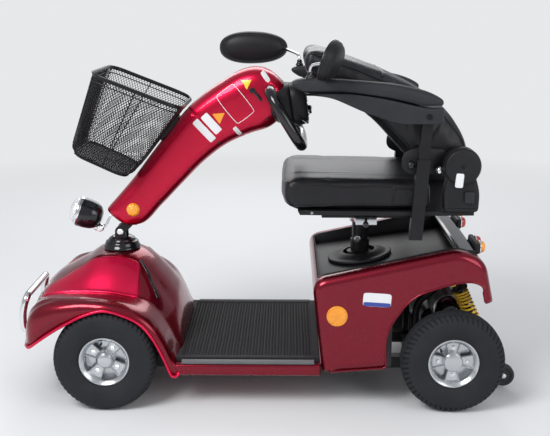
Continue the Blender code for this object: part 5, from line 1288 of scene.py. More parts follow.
    def headlamp(self) -> None:
        """Lamp bucket, bezel, fluted lens, ball clamp and strap arms."""
        place = np.array([FRONT_AXLE + 0.072, 0.0, TILT_Z + 0.044])
        rise = math.radians(17)
        facing = np.array([math.cos(rise), 0.0, math.sin(rise)])
        bucket = [
            (0.0, -0.024), (0.018, -0.0235), (0.034, -0.014), (0.0435, 0.004), (0.0465, 0.026), (0.0465, 0.046),
            (0.0440, 0.046), (0.0440, 0.040), (0.0, 0.040),
        ]
        Shape.turned(bucket, 0.007, 6, place, facing, 72).put("lamp_bucket", GLOSS, "tiller", ["headlamp"])
        bezel = [(0.0400, 0.046), (0.0470, 0.042), (0.0474, 0.051), (0.0440, 0.0555), (0.0402, 0.0540)]
        Shape.turned(bezel, 0.0022, 5, place, facing, 72, loop=True).put("lamp_bezel", CHROME, "tiller")
        dome = [(0.0404, 0.0560), (0.0395, 0.0610), (0.0345, 0.0680), (0.0250, 0.0735), (0.0125, 0.0765), (0.0, 0.0772)]
        radius, height = np.hsplit(np.concatenate([[(0.0402, 0.044)], curve(dome, 24)]), 2)
        steps = 180
        flute = 0.0005 * np.cos(radius * np.cos(spaced(steps))[None] * 1400) * (radius < 0.037)
        lens = Shape.lathe((np.repeat(radius, steps, 1), height + flute), place, facing, steps)
        lens.put("lamp_lens", GLASS, "tiller", ["headlamp_lens"])
        clamp = place + (-0.016, 0, -0.038)
        stem = curve([place + (0.006, 0, -0.030), place + (-0.004, 0, -0.040), clamp], 12)
        parts = [
            Shape.ball(0.0122, 14, clamp, (0, 1, 0), 32),
            Shape.sweep(stem, ring(16, 0.0075, 0.0050, 3.0), up=(0, 1, 0)),
        ]
        for y in (-0.0125, 0.0125):
            ends = [clamp + (0.004, y, 0.002), clamp + (-0.014, y, 0.006)]
            ends += [tiller(0.003, 0.052, y * 0.8), tiller(0.0195, 0.054, y * 0.5)]
            parts.append(Shape.sweep(curve(ends, 20), ring(16, 0.0030, 0.0064, 4.0), up=(0, 1, 0)))
        parts.append(Shape.hexagon(clamp + (0, 0.0145, 0), (0, 1, 0), 0.0075, 0.0070))
        joined(parts).put("lamp_clamp", CHROME, "tiller", sharp=35)

    def lenses(self) -> None:
        """Indicator lenses: domes with eight lobes."""
        # Columns: radius, height, depth of the lobes
        rows = curve([
            (0.0207, 0.0, 0), (0.0207, 0.0045, 0.001), (0.0190, 0.0085, 0.003), (0.0150, 0.0115, 0.003),
            (0.0080, 0.0132, 0.001), (0.0004, 0.0138, 0),
        ], 30)
        lobes = 0.5 - 0.5 * np.cos(spaced(96) * 8)
        dome = (rows[:, :1] * (1 - 25 * rows[:, 2:] * lobes[None]), np.repeat(rows[:, 1:2], 96, 1))
        for side in Side:
            lens = Shape.lathe(dome, tiller(0.088, 0.018, side.value * 0.0542), side.out, 96)
            lens.put(f"turn_lens_{side.word}", AMBER, "tiller", [f"indicator_{side.word}"])

    def column(self) -> None:
        """Ears, sleeve and bolts that carry the tiller on the steering column."""
        for name, x, y, z, radius, height in (
            ("tilt_bolts", COLUMN_X, 0.0285, TILT_Z, 0.0085, 0.0065),
            ("column_bolts", COLUMN_X + 0.004, 0.0272, 0.4300, 0.0060, 0.0050),
        ):
            heads = (Shape.hexagon((x, side.value * y, z), side.out, radius, height) for side in Side)
            joined(heads).put(name, CHROME, "column", sharp=25)
        top = (COLUMN_X, TILT_Z) + 0.0165 * circle(np.radians(np.linspace(-10, 190, 24)))
        outline = np.concatenate([top, [(COLUMN_X - 0.0185, 0.4180), (COLUMN_X + 0.0185, 0.4180)]])
        ear = Shape.extrude(outline, [(0.0195, 0.001), (0.0205, 0), (0.0275, 0), (0.0285, 0.001)])
        sleeve = [(0.0, 0.395), (0.0290, 0.395), (0.0290, 0.428), (0.0255, 0.436), (0.0, 0.436)]
        head = [*(ear.on(side) for side in Side), Shape.turned(sleeve, 0.004, 5, (COLUMN_X, 0, 0), UP, 48)]
        joined(head).put("column_head", STEEL, "column", sharp=35)

    def build(self) -> None:
        """Makes the tiller's pieces."""
        self.cover().put("tiller_skin", RED_TILLER, "tiller", ["tiller_cover"], 55)
        self.plates()
        self.console()
        self.loop().put("loop_bar", GLOSS, "tiller", ["steering_loop"])
        self.headlamp()
        self.lenses()
        self.column()


@dataclass
class Basket:
    """Tapered wire basket with its rims and mounting plate."""

    top: tuple[Pair, Pair] = ((-0.212, 0.394), (0.044, 0.494))
    low: tuple[Pair, Pair] = ((-0.050, 0.185), (0.124, 0.265))
    top_half: float = 0.1685
    low_half: float = 0.1465
    wire: float = 0.0009
    wires: int = 118
    places: int = 240
    # Share of the height over which the wall curls in at its foot, and how far
    curl: float = 0.14
    tuck: float = 0.15

    def level(self, ends: tuple[Pair, Pair], half: float, corner: float) -> Array:
        """Rounded rectangle at one level, spaced evenly round.

        Args:
            ends: Rear and front, from the tiller's pivot.
            half: Half its width.
            corner: Reach of its corners.

        Returns:
            Points (places, 3).
        """
        low, high = np.array(ends)
        length = float(np.linalg.norm(high - low))
        flat = fillet([(0.0, -half), (length, -half), (length, half), (0.0, half)], corner, 8, True)
        loop = np.concatenate([flat, flat[:1]])
        place = lengths(loop)
        at = np.linspace(0, place[-1], self.places + 1)[:-1]
        along, y = (np.interp(at, place, part) for part in loop.T)
        return upright((COLUMN_X, TILT_Z) + (low + (high - low) * (along / length)[:, None]), y)

    def wall(self, s: Array, h: Array) -> Array:
        """Points of the wall by share round and share up: a straight mix of the two levels."""
        low, high = self.level(self.low, self.low_half, 0.050), self.level(self.top, self.top_half, 0.060)
        where = (s % 1.0) * self.places
        i = where.astype(int) % self.places
        t, h = (where - np.floor(where))[..., None], h[..., None]
        foot, rim = (level[i] * (1 - t) + level[(i + 1) % self.places] * t for level in (low, high))
        ruled = foot * (1 - h) + rim * h
        middle = low.mean(axis=0) * (1 - h) + high.mean(axis=0) * h
        bend = np.clip((self.curl - h) / self.curl, 0, 1)
        return ruled + (middle - ruled) * self.tuck * (1 - np.sqrt(1 - (0.99 * bend) ** 2))

    def net(self, lines: Array, up: Any) -> Shape:
        """Many thin square wires at once: each line plus its side and the given direction times the wire's size."""
        ahead = unit(np.gradient(lines, axis=1))
        side = unit(np.cross(np.broadcast_to(up, ahead.shape), ahead))
        other = np.cross(ahead, side)
        corners = ((1, 0), (0, 1), (-1, 0), (0, -1))
        points = np.stack([lines + self.wire * (a * side + b * other) for a, b in corners], 2)
        shift = np.arange(len(lines))[:, None, None] * lines.shape[1] * 4
        faces = Shape.grid(points[0], caps="flat").faces
        return Shape(points.reshape(-1, 3), [(f[None] + shift).reshape(-1, f.shape[1]) for f in faces])

    def mesh(self) -> Shape:
        """Diamond mesh of the wall and square mesh of the floor."""
        h = np.linspace(0, 1, 18)[None]
        start = (np.arange(self.wires) / self.wires)[:, None]
        centre = self.wall(np.linspace(0, 1, 60), np.full(60, 0.5)).mean(axis=0)
        walls = [self.wall(start + slope * h, h + 0 * start) for slope in (-0.17, 0.17)]
        nets = [self.net(lines, unit(lines - centre)) for lines in walls]
        low = self.level(self.low, self.low_half, 0.032)
        first, last = low[np.argmin(low[:, 0])], low[np.argmax(low[:, 0])]
        rear, front = first[0], last[0]
        fall = (last[2] - first[2]) / (front - rear)
        for count, swap in ((19, False), (30, True)):
            t = np.linspace(0.03, 0.97, count)[:, None] + np.zeros((1, 10))
            w = np.zeros((count, 1)) + np.linspace(0.004, 0.996, 10)[None]
            a, b = (w, t) if swap else (t, w)
            x = rear + (front - rear) * (self.tuck / 2 + (1 - self.tuck) * a)
            y, z = (b * 2 - 1) * self.low_half * (1 - self.tuck), low[:, 2].min() + (x - rear) * fall
            nets.append(self.net(np.stack([x, y, z], -1), UP))
        return joined(nets)

    def build(self) -> None:
        """Makes the basket's pieces."""
        self.mesh().put("basket_mesh", WIRE, "tiller", ["basket"])
        s, h = np.arange(200) / 200, np.linspace(0, 1, 12)
        rims = [
            Shape.sweep(self.wall(s, np.full(200, level)), ring(12, wide, tall, 3.0), up=(0.36, 0, 1), closed=True)
            for level, wide, tall in ((1.0, 0.0026, 0.0060), (0.93, 0.0016, 0.0016), (0.0, 0.0024, 0.0042))
        ]
        stays = (self.wall(np.full(12, k / 8 + 0.03), h) for k in range(8))
        rims += [Shape.sweep(line, ring(10, 0.0018), up=(0.3, 0.9, 0.2)) for line in stays]
        joined(rims).put("basket_rims", STEEL, "tiller")
        a, b = ring(36, 0.045, 0.034, 6.0).T[:, None]
        level, shrink = np.array([(0.0985, 1.0), (0.1115, 1.0), (0.1125, 0.95)]).T[..., None]
        plate = Shape.grid(tiller(0.342 + a * shrink, level, b * shrink), caps="fan")
        plate.put("basket_plate", BLACK, "tiller")


def coordinates(mesh: Any) -> Array:
    """A mesh's points as an array."""
    points = np.empty(len(mesh.vertices) * 3, np.float32)
    mesh.vertices.foreach_get("co", points)
    return points.reshape(-1, 3).astype(float)


@dataclass
class Upholstery:
    """Padded piece: a closed form blown up as cloth, with welts laid on and seams pressed in.

    Attributes:
        name: The piece's name.
        shape: The form before it is filled.
        body: The body that carries it.
        over: CAD nodes that it replaces.
        welts: Closed or open lines that get a round welt.
        seams: Lines that are pressed in and stitched.
        voxel: Size of the remeshed faces.
        cap: Farthest that filling may move a point.
    """

    name: str
    shape: Shape
    body: str
    over: Sequence[str] = ()
    welts: Sequence[Array] = ()
    seams: Sequence[Array] = ()
    finish: Finish = VINYL
    voxel: float = 0.0055
    cap: float = 0.012
    welt: float = 0.0026
    frames: int = 20

    def bake(self, item: Any) -> None:
        """Replaces an object's mesh by what its modifiers make of it."""
        graph = bpy.context.evaluated_depsgraph_get()
        mesh = bpy.data.meshes.new_from_object(item.evaluated_get(graph))
        item.modifiers.clear()
        item.data = mesh

    def fill(self, item: Any) -> None:
        """Blows the piece up as cloth and caps how far each point moves."""
        remesh = item.modifiers.new("remesh", "REMESH")
        remesh.mode, remesh.voxel_size = "VOXEL", self.voxel
        self.bake(item)
        start = coordinates(item.data)
        cloth = item.modifiers.new("cloth", "CLOTH")
        cloth.settings.quality = 4
        cloth.settings.use_pressure = True
        cloth.settings.uniform_pressure_force = 4.0
        cloth.settings.effector_weights.gravity = 0.0
        cloth.point_cache.frame_start, cloth.point_cache.frame_end = 1, self.frames
        scene = bpy.context.scene
        for frame_number in range(1, self.frames + 1):
            scene.frame_set(frame_number)
        soft = item.modifiers.new("soft", "SMOOTH")
        soft.factor, soft.iterations = 0.5, 8
        self.bake(item)
        moved = coordinates(item.data) - start
        length = np.linalg.norm(moved, axis=1, keepdims=True)
        capped = start + moved / np.maximum(length, 1e-9) * self.cap * np.tanh(length / self.cap)
        item.data.vertices.foreach_set("co", capped.astype(np.float32).ravel())
        item.data.update()
        scene.frame_set(1)

    def near(self, points: Array, line: Array) -> tuple[Array, Array]:
        """Nearest of the given points to each point of a line, and its distance."""
        parts = np.array_split(line, max(1, len(line) // 24))
        found = [np.linalg.norm(points[None] - part[:, None], axis=2) for part in parts]
        index, gap = [part.argmin(axis=1) for part in found], [part.min(axis=1) for part in found]
        return np.concatenate(index), np.concatenate(gap)

    def press(self, item: Any) -> None:
        """Sinks the surface along the seams by a bell of its distance, and lifts it softly on both sides."""
        mesh = item.data
        points = coordinates(mesh)
        normals = np.empty(len(points) * 3, np.float32)
        mesh.vertex_normals.foreach_get("vector", normals)
        for line in self.seams:
            gap = np.full(len(points), 1.0)
            low, high = line.min(axis=0) - 0.03, line.max(axis=0) + 0.03
            close = np.flatnonzero(((points > low) & (points < high)).all(axis=1))
            if len(close):
                gap[close] = self.near(line, points[close])[1]
            depth = 0.0034 * np.exp(-((gap / 0.0045) ** 2)) - 0.0010 * np.exp(-(((gap - 0.013) / 0.007) ** 2))
            points = points - normals.reshape(-1, 3) * depth[:, None]
        mesh.vertices.foreach_set("co", points.astype(np.float32).ravel())
        mesh.update()

    def laid(self, item: Any, line: Array, closed: bool) -> Array:
        """A line pulled onto the surface and smoothed."""
        points = coordinates(item.data)
        out = points[self.near(points, line)[0]]
        for _ in range(5):
            mean = (np.roll(out, 1, 0) + out * 2 + np.roll(out, -1, 0)) / 4
            out = mean if closed else np.concatenate([out[:1], mean[1:-1], out[-1:]])
        return out

    def build(self) -> None:
        """Makes the piece with its welts."""
        item = self.shape.put(self.name, self.finish, self.body, self.over)
        self.fill(item)
        self.press(item)
        item.data.shade_smooth()
        item.data.materials.clear()
        item.data.materials.append(self.finish.build())
        smooth = item.modifiers.new("smooth", "SUBSURF")
        smooth.levels = smooth.render_levels = 1
        for number, line in enumerate(self.welts):
            closed = bool(np.linalg.norm(line[0] - line[-1]) < 0.03)
            path = self.laid(item, line, closed)
            welt = Shape.sweep(path, ring(10, self.welt), up=(0.02, 1, 0.03), closed=closed)
            welt.put(f"{self.name}_welt_{number}", self.finish, self.body)


@dataclass
class Seat:
    """Seat cushion, its pan's fittings, the hinge covers, the levers and the knobs."""

    half: float = 0.234
    hinge: Pair = (SEAT_X - 0.261, 0.714)
    lever_x: float = -0.318
    lever_wide: float = 0.061

    def cushion(self) -> None:
        """Cushion with a bowed front, welts round its top and foot, and two long channels."""
        outline = rounded([
            (-0.064, 0.5840, 0.014), (-0.034, 0.6073, 0.024), (-0.040, 0.6680, 0.020), (-0.470, 0.6600, 0.018),
            (-0.470, 0.5840, 0.012),
        ])
        side = self.half - 0.005
        shape = Shape.extrude(outline, eased(-side, side, 0.015, 6, np.linspace(-0.9, 0.9, 9) * (self.half - 0.022)))
        x, y = shape.verts[:, 0], shape.verts[:, 1]
        shape.verts[:, 0] = x - 0.020 * (np.abs(y) / self.half) ** 6 * np.clip((x + 0.25) / 0.2, 0, 1)
        corners = [
            (-0.055, 0.212), (-0.462, 0.2295), (-0.462, -0.2295), (-0.055, -0.212), (-0.040, -0.10), (-0.040, 0.10),
        ]
        edge = curve(fillet(corners, [0.04, 0.02, 0.02, 0.04, 0.06, 0.06], 8, True), 260, True) * (1, 1.03)
        tall = 0.6590 - 0.010 * np.clip((-0.04 - edge[:, 0]) / 0.42, 0, 1)
        welts = [np.column_stack([edge, z]) for z in (tall, np.full(len(edge), 0.5925))]
        channels = [np.linspace((-0.045, y, 0.676), (-0.465, y, 0.676), 120) for y in (-0.125, 0.125)]
        wave = -0.360 + 0.003 * np.sin(np.linspace(0, 6, 40))
        ends = [np.column_stack([wave, np.full(40, s.value * 0.236), np.linspace(0.596, 0.652, 40)]) for s in Side]
        Upholstery("cushion", shape, "seat", ["seat_cushion"], welts + ends, channels + ends, cap=0.0065).build()

    def cover(self, side: Side) -> None:
        """Hinge cover: moulded housing, toothed ring, round cap with a screw, and a blank plate."""
        word, sign, (px, pz) = side.word, side.value, self.hinge
        disc = (px, pz) + 0.0525 * circle(np.radians(np.linspace(-40, 220, 60)))
        foot = [(px - 0.052, 0.64), (px - 0.050, 0.5833), (px + 0.045, 0.5833), (px + 0.049, 0.64)]
        reach = np.concatenate([np.full(len(disc), 0.001), [0.02, 0.012, 0.012, 0.02]])
        shell = Shape.extrude(fillet(np.concatenate([disc, foot]), reach, 4, True), [
            (0.2122, 0.003), (0.2135, 0.0008), (0.216, 0), (0.250, 0), (0.2525, 0.0008), (0.254, 0.003),
            (0.2545, 0.012),
        ])
        shell.on(side).put(f"hinge_shell_{word}", BLACK, "seat", [f"hinge_cover_{word}"])
        steps = 224
        teeth = 0.0011 * np.clip(np.cos(spaced(steps) * 56) * 3, -1, 1)
        radius, height = np.hsplit(np.array([
            (0.030, 0.0), (0.0508, 0.0), (0.0514, 0.0006), (0.0514, 0.0058), (0.0508, 0.0064), (0.030, 0.0064),
        ]), 2)
        profile = (radius + teeth[None] * (radius > 0.04), np.repeat(height, steps, 1))
        teeth_ring = Shape.lathe(profile, (px, sign * 0.2535, pz), side.out, steps, loop=True)
        teeth_ring.put(f"hinge_teeth_{word}", STEEL, "seat", sharp=25)
        cap = [
            (0.0, 0.0), (0.0490, 0.0), (0.0490, 0.0030), (0.0465, 0.0058), (0.030, 0.0072), (0.0100, 0.0076),
            (0.0095, 0.0064), (0.0, 0.0064),
        ]
        disc_cap = Shape.turned(cap, 0.0016, 4, (px, sign * 0.2602, pz), side.out, 96)
        disc_cap.put(f"hinge_cap_{word}", BLACK, "seat")
        Shape.screw((px, sign * 0.2662, pz), side.out, 0.0046).put(f"hinge_screw_{word}", STEEL, "seat")
        front, rear, corner = px - 0.0085, px - 0.0360, 0.004
        square = rounded([(x, z, corner) for x, z in (
            (rear, 0.6110), (front, 0.6110), (front, 0.6435), (rear, 0.6435),
        )])
        block = Shape.extrude(square, [(0.253, 0), (0.2610, 0), (0.2626, 0.0008), (0.2632, 0.0025)])
        block.on(side).put(f"hinge_block_{word}", ARM, "seat")
        if side is Side.LEFT:
            flat = spun(ring(36, 0.0110, 0.0200, 7.0), 0.08) + (px + 0.009, 0.6770)
            Shape.extrude(flat, [(0.2655, 0), (0.2684, 0)]).put("hinge_plate", WHITE, "seat")

    def pan(self) -> None:
        """Pan rim with its bolts, and the post's collar with a clamp bolt."""
        y = self.half - 0.0005
        corners = [(-0.094, -y), (-0.094, y), (-0.585, y), (-0.585, -y)]
        edge = curve(fillet(corners, [0.03, 0.03, 0.012, 0.012], 10, True), 220, True)
        path = np.column_stack([edge, np.full(220, 0.5762)])
        Shape.sweep(path, ring(12, 0.0022, 0.0064, 4.0), closed=True).put("pan_rim", STEEL, "seat")
        joined(
            Shape.screw((x, side.value * 0.2350, 0.5765), side.out, 0.0042)
            for x in (-0.533, -0.130, -0.350) for side in Side
        ).put("pan_bolts", CHROME, "seat")
        collar = [(0.0240, 0.0), (0.0340, 0.0), (0.0340, 0.014), (0.0300, 0.018), (0.0240, 0.018)]
        post = Shape.turned(collar, 0.002, 4, (SEAT_X, 0, 0.500), UP, 48, loop=True)
        post += Shape.hexagon((SEAT_X + 0.010, 0.0255, 0.446), (0, 1, 0), 0.0085, 0.008)
        post.put("post_collar", SILVER, "chassis", sharp=30)

    def lever(self) -> None:
        """Swivel lever with its grip, and the bent strip that holds it."""
        bend = [(0.176, 0.5560), (0.192, 0.5560), (0.1965, 0.5500), (0.1965, 0.5345)]
        strip = curve([(self.lever_x, y, z) for y, z in bend], 22)
        over = np.stack([strip, strip + (self.lever_wide, 0, 0)], 1)
        loop = np.concatenate([over, (over - (0, 0, 0.0016))[:, ::-1]], 1)
        Shape.grid(loop, caps="flat").put("lever_bracket", SILVER, "seat", sharp=30)
        rod = curve([
            (-0.300, 0.150, 0.552), (-0.290, 0.185, 0.549), (-0.285, 0.215, 0.547), (-0.283, 0.240, 0.546),
        ], 16)
        grip = [(0.0, 0.0), (0.0075, 0.0), (0.0090, 0.012), (0.0075, 0.024), (0.0, 0.026)]
        end = Shape.turned(grip, 0.003, 5, rod[-1] - (0, 0.006, 0), (0.03, 1, -0.05), 24)
        (Shape.sweep(rod, ring(12, 0.0042)) + end).put("swivel_lever", GLOSS, "seat")

    def knobs(self) -> None:
        """Recline brackets, ball knobs and height knobs."""
        bracket = Shape.extrude(rounded([
            (-0.505, 0.690, 0.01), (-0.415, 0.680, 0.015), (-0.380, 0.700, 0.02), (-0.386, 0.748, 0.02),
            (-0.430, 0.764, 0.02), (-0.505, 0.756, 0.01),
        ]), [(0.2105, 0.001), (0.2112, 0), (0.2152, 0), (0.2160, 0.001)])
        grip = [
            (0.0, 0.0), (0.0060, 0.0), (0.0060, 0.006), (0.0125, 0.008), (0.0130, 0.018), (0.0100, 0.022),
            (0.0, 0.0225),
        ]
        for side in Side:
            bracket.on(side).put(f"recline_bracket_{side.word}", BLACK, "seat")
            at = (-0.487, side.value * 0.2290, 0.699)
            stem = Shape.lathe([(0.0045, 0), (0.0045, 0.024)], at, (-1, 0, 0.12), 16)
            (Shape.ball(0.0125, 16, at, (0, 1, 0), 32) + stem).put(f"ball_knob_{side.word}", CHROME, "seat")
            knob = Shape.turned(grip, 0.002, 5, (-0.4185, side.value * 0.245, 0.716), (1, 0, 0.05), 32)
            knob.put(f"height_knob_{side.word}", GLOSS, "seat")

    def build(self) -> None:
        """Makes the seat's pieces."""
        self.cushion()
        for side in Side:
            self.cover(side)
        self.pan()
        self.lever()
        self.knobs()


@dataclass
class Backrest:
    """Padded backrest with side panels, welts and cross seams."""

    half: float = 0.205
    rows: tuple[Point, ...] = (
        (-0.205, 0.676, 0.020), (-0.125, 0.724, 0.026), (-0.005, 0.856, 0.050), (0.120, 0.938, 0.050),
        (0.196, 0.972, 0.024), (0.182, 1.040, 0.024), (-0.045, 0.964, 0.120), (-0.218, 0.878, 0.060),
        (-0.296, 0.760, 0.040), (-0.285, 0.672, 0.026),
    )
    # Cross seams, then the side panels' seams, x from the seat's post and height
    cross: tuple[Pair, ...] = ((-0.047, 0.972), (-0.215, 0.893), (0.120, 0.934), (0.000, 0.858), (-0.120, 0.728))
    panels: tuple[tuple[Pair, ...], ...] = (
        ((-0.030, 0.945), (-0.075, 0.900), (-0.105, 0.850), (-0.118, 0.770)),
        ((-0.255, 0.870), (-0.215, 0.845), (-0.175, 0.790), (-0.150, 0.735)),
    )

    def build(self) -> None:
        """Makes the backrest."""
        outline, side = rounded(self.rows, SEAT_X), self.half - 0.006
        middle = np.linspace(-0.8, 0.8, 9) * (self.half - 0.026)
        shape = Shape.extrude(inset(outline, [0.006])[0], eased(-side, side, 0.020, 6, middle))
        loop = curve(inset(outline, [0.0050])[0], 260, True)
        welts = [upright(loop, sign * (self.half - 0.010)) for sign in (-1, 1)]
        x, z = self.cross[0]
        welts.append(np.linspace((SEAT_X + x, -0.188, z), (SEAT_X + x, 0.188, z), 90))
        seams = [np.linspace((SEAT_X + x, -0.19, z), (SEAT_X + x, 0.19, z), 90) for x, z in self.cross]
        seams += [upright(curve(line, 50) + (SEAT_X, 0), s * self.half) for s in (-1, 1) for line in self.panels]
        Upholstery("back_pad", shape, "backrest", ["backrest"], welts, seams).build()
        rod = Shape.lathe([(0.0098, -0.2216), (0.0098, 0.2216)], (SEAT_X - 0.261, 0, 0.714), (0, 1, 0), 32)
        rod.put("hinge_rod", STEEL, "backrest")


@dataclass
class Armrest:
    """Padded armrest over a hollow fairing, with its pivot bolts and mirror.

    Attributes:
        side: Which armrest.
    """

    side: Side
    middle: float = 0.251
    half: float = 0.029

    def fairing(self) -> Shape:
        """Two cheeks with a core between them, open where the post enters."""
        lower = rounded([
            (-0.104, 0.9150, 0.006), (-0.223, 0.9185, 0.030), (-0.323, 0.9045, 0.030), (-0.437, 0.8780, 0.020),
            (-0.4865, 0.8795, 0.004), (-0.4850, 0.8345, 0.010), (-0.367, 0.8345, 0.020), (-0.284, 0.8605, 0.030),
            (-0.181, 0.9060, 0.020),
        ])
        low = self.middle - self.half
        rolled = ((0.0005, 0.003), (0.0015, 0.001), (0.004, 0), (0.0135, 0), (0.0138, 0.0006))
        cheek = [(low + y, gap) for y, gap in rolled]
        other = [(2 * self.middle - y, gap) for y, gap in cheek[::-1]]
        core = rounded([
            (-0.108, 0.9145, 0.006), (-0.223, 0.9180, 0.030), (-0.323, 0.9040, 0.030), (-0.437, 0.8785, 0.010),
            (-0.4845, 0.8790, 0.002), (-0.4845, 0.8765, 0.001), (-0.4260, 0.8760, 0.001), (-0.4255, 0.8350, 0.004),
            (-0.367, 0.8350, 0.020), (-0.284, 0.8610, 0.030), (-0.181, 0.9060, 0.020),
        ])
        between = [(self.middle + y, 0.0003) for y in (-0.0170, 0.0170)]
        return joined(Shape.extrude(*part) for part in ((lower, cheek), (lower, other), (core, between)))

    def pad(self) -> None:
        """Upper pad with a welt on each side."""
        outline = rounded([
            (-0.0635, 0.9440, 0.010), (-0.090, 0.9570, 0.018), (-0.201, 0.9525, 0.03), (-0.363, 0.9395, 0.03),
            (-0.443, 0.9215, 0.02), (-0.4875, 0.8990, 0.012), (-0.4870, 0.8835, 0.006), (-0.437, 0.8815, 0.02),
            (-0.323, 0.9080, 0.03), (-0.223, 0.9220, 0.03), (-0.100, 0.9190, 0.012),
        ])
        low, high = self.middle - self.half, self.middle + self.half
        shape = Shape.extrude(outline, eased(low + 0.0022, high - 0.0022, 0.009, 5)).on(self.side)
        x = np.linspace(-0.070, -0.484, 120)
        z = np.interp(-x, [0.070, 0.100, 0.223, 0.323, 0.437, 0.484], [0.936, 0.921, 0.921, 0.907, 0.880, 0.8825])
        lines = [np.column_stack([x, np.full(120, self.side.value * y), z]) for y in (low, high)]
        word = self.side.word
        Upholstery(f"arm_pad_{word}", shape, f"armrest_{word}", (), lines, (), PAD, 0.0042, 0.0035, 0.0016).build()

    def mirror(self) -> None:
        """Shell, rim, glass, stem and clamp of the mirror on the armrest's front end."""
        if self.side is Side.RIGHT:
            centre, foot, along, up = (SEAT_X + 0.342, -0.380, 1.009), (SEAT_X + 0.188, -0.255, 0.9605), (1, 0, 0), UP
            length, height, tall = 0.228, 0.106, 0.030
        else:
            centre, foot = (SEAT_X + 0.120, 0.300, 1.011), (SEAT_X + 0.165, 0.255, 0.9591)
            along, up, length, height, tall = (0.26, 1, 0), (-0.34, 0, 1), 0.164, 0.112, 0.034
        middle, ahead, rise = np.array(centre), unit(along), unit(up)
        back = np.cross(ahead, rise) * -0.038
        outline = ring(72, 0.5, power=2.3)
        outline[:, 1] *= 1 + 0.10 * outline[:, 0]
        flat = outline[:, :1] * ahead * length + outline[:, 1:] * rise * height
        # Columns: size, depth
        shell = curve([
            (0.90, 0.0), (1.0, 0.12), (0.985, 0.26), (0.94, 0.46), (0.915, 0.52), (0.890, 0.505), (0.875, 0.56),
            (0.80, 0.72), (0.60, 0.89), (0.34, 0.98), (0.12, 1.0),
        ], 44)
        face = np.array([(0.90, 0.02), (0.86, -0.012), (0.55, -0.024), (0.2, -0.028)])
        name, body = self.side.word, f"armrest_{self.side.word}"
        for tag, rows, finish, over in (
            ("shell", shell, BLACK, [f"mirror_{name}"]), ("glass", face, GLASS_FACE, ()),
        ):
            points = middle + rows[:, :1, None] * flat + rows[:, 1:, None] * back
            Shape.grid(points, caps="fan").put(f"mirror_{tag}_{name}", finish, body, over)
        rim = Shape.sweep(middle + 0.955 * flat + back * 0.035, ring(10, 0.0030, 0.0026), up=back, closed=True)
        rim.put(f"mirror_rim_{name}", GLOSS, body)
        start, end = np.array(foot), middle + back * 0.62
        if self.side is Side.RIGHT:
            end = middle - ahead * length * 0.43 + back * 0.38
        stem = Shape.sweep(fillet([start, start + (0, 0, tall), end], 0.022, 10), ring(14, 0.0046), up=(0.3, 0.2, 0.05))
        stem.put(f"mirror_stem_{name}", CHROME, body)
        collar = [(0.0, 0.0), (0.0125, 0.0), (0.0125, 0.006), (0.0085, 0.010), (0.0080, 0.020), (0.0, 0.020)]
        clamp = Shape.turned(collar, 0.002, 4, start - (0, 0, 0.004), UP, 32)
        clamp.put(f"mirror_foot_{name}", GLOSS, body)
        Shape.ball(0.0095, 12, end, unit(back), 24).put(f"mirror_joint_{name}", BLACK, body)

    def build(self) -> None:
        """Makes the armrest's pieces."""
        word, name = self.side.word, f"armrest_{self.side.word}"
        self.fairing().on(self.side).put(f"arm_fairing_{word}", ARM, name, [name], 35)
        self.pad()
        washer = [(0.0062, 0.0), (0.0088, 0.0), (0.0088, 0.0018), (0.0062, 0.0018)]
        for tag, sign in (("out", 1), ("in", -1)):
            y, axis = self.middle + sign * (self.half - 0.0010), (0, self.side.value * sign, 0)
            at = (SEAT_X - 0.161, self.side.value * y, 0.855)
            bolt = Shape.turned(washer, 0.0005, 3, at, axis, 32, loop=True) + Shape.screw(at, axis, 0.0058)
            bolt.put(f"pivot_bolt_{word}_{tag}", STEEL, name)
        self.mirror()


@dataclass
class Dresser:
    """Gives each CAD node its finish, by how its name starts, or black steel."""

    table: tuple[tuple[str, Finish], ...] = (
        ("tyre_", TYRE), ("anti_tip_wheel", ROLLER), ("rim_", SILVER), ("bumper", CHROME), ("tiller_yoke", STEEL),
        ("reflector", AMBER), ("indicator", AMBER), ("rear_light", LAMP_RED), ("spring_", YELLOW),
        ("headlamp_lens", GLASS), ("battery_", CASE), ("headlamp", BLACK), ("seat_dish", BLACK),
    )

    def dress(self, nodes: dict[str, Any]) -> None:
        """Puts a finish on every node.

        Args:
            nodes: The CAD objects by name.
        """
        for name, item in nodes.items():
            finish = next((found for start, found in self.table if name.startswith(start)), STEEL)
            item.data.materials.clear()
            item.data.materials.append(finish.build())
        LOG.info("dressed %d nodes", len(nodes))


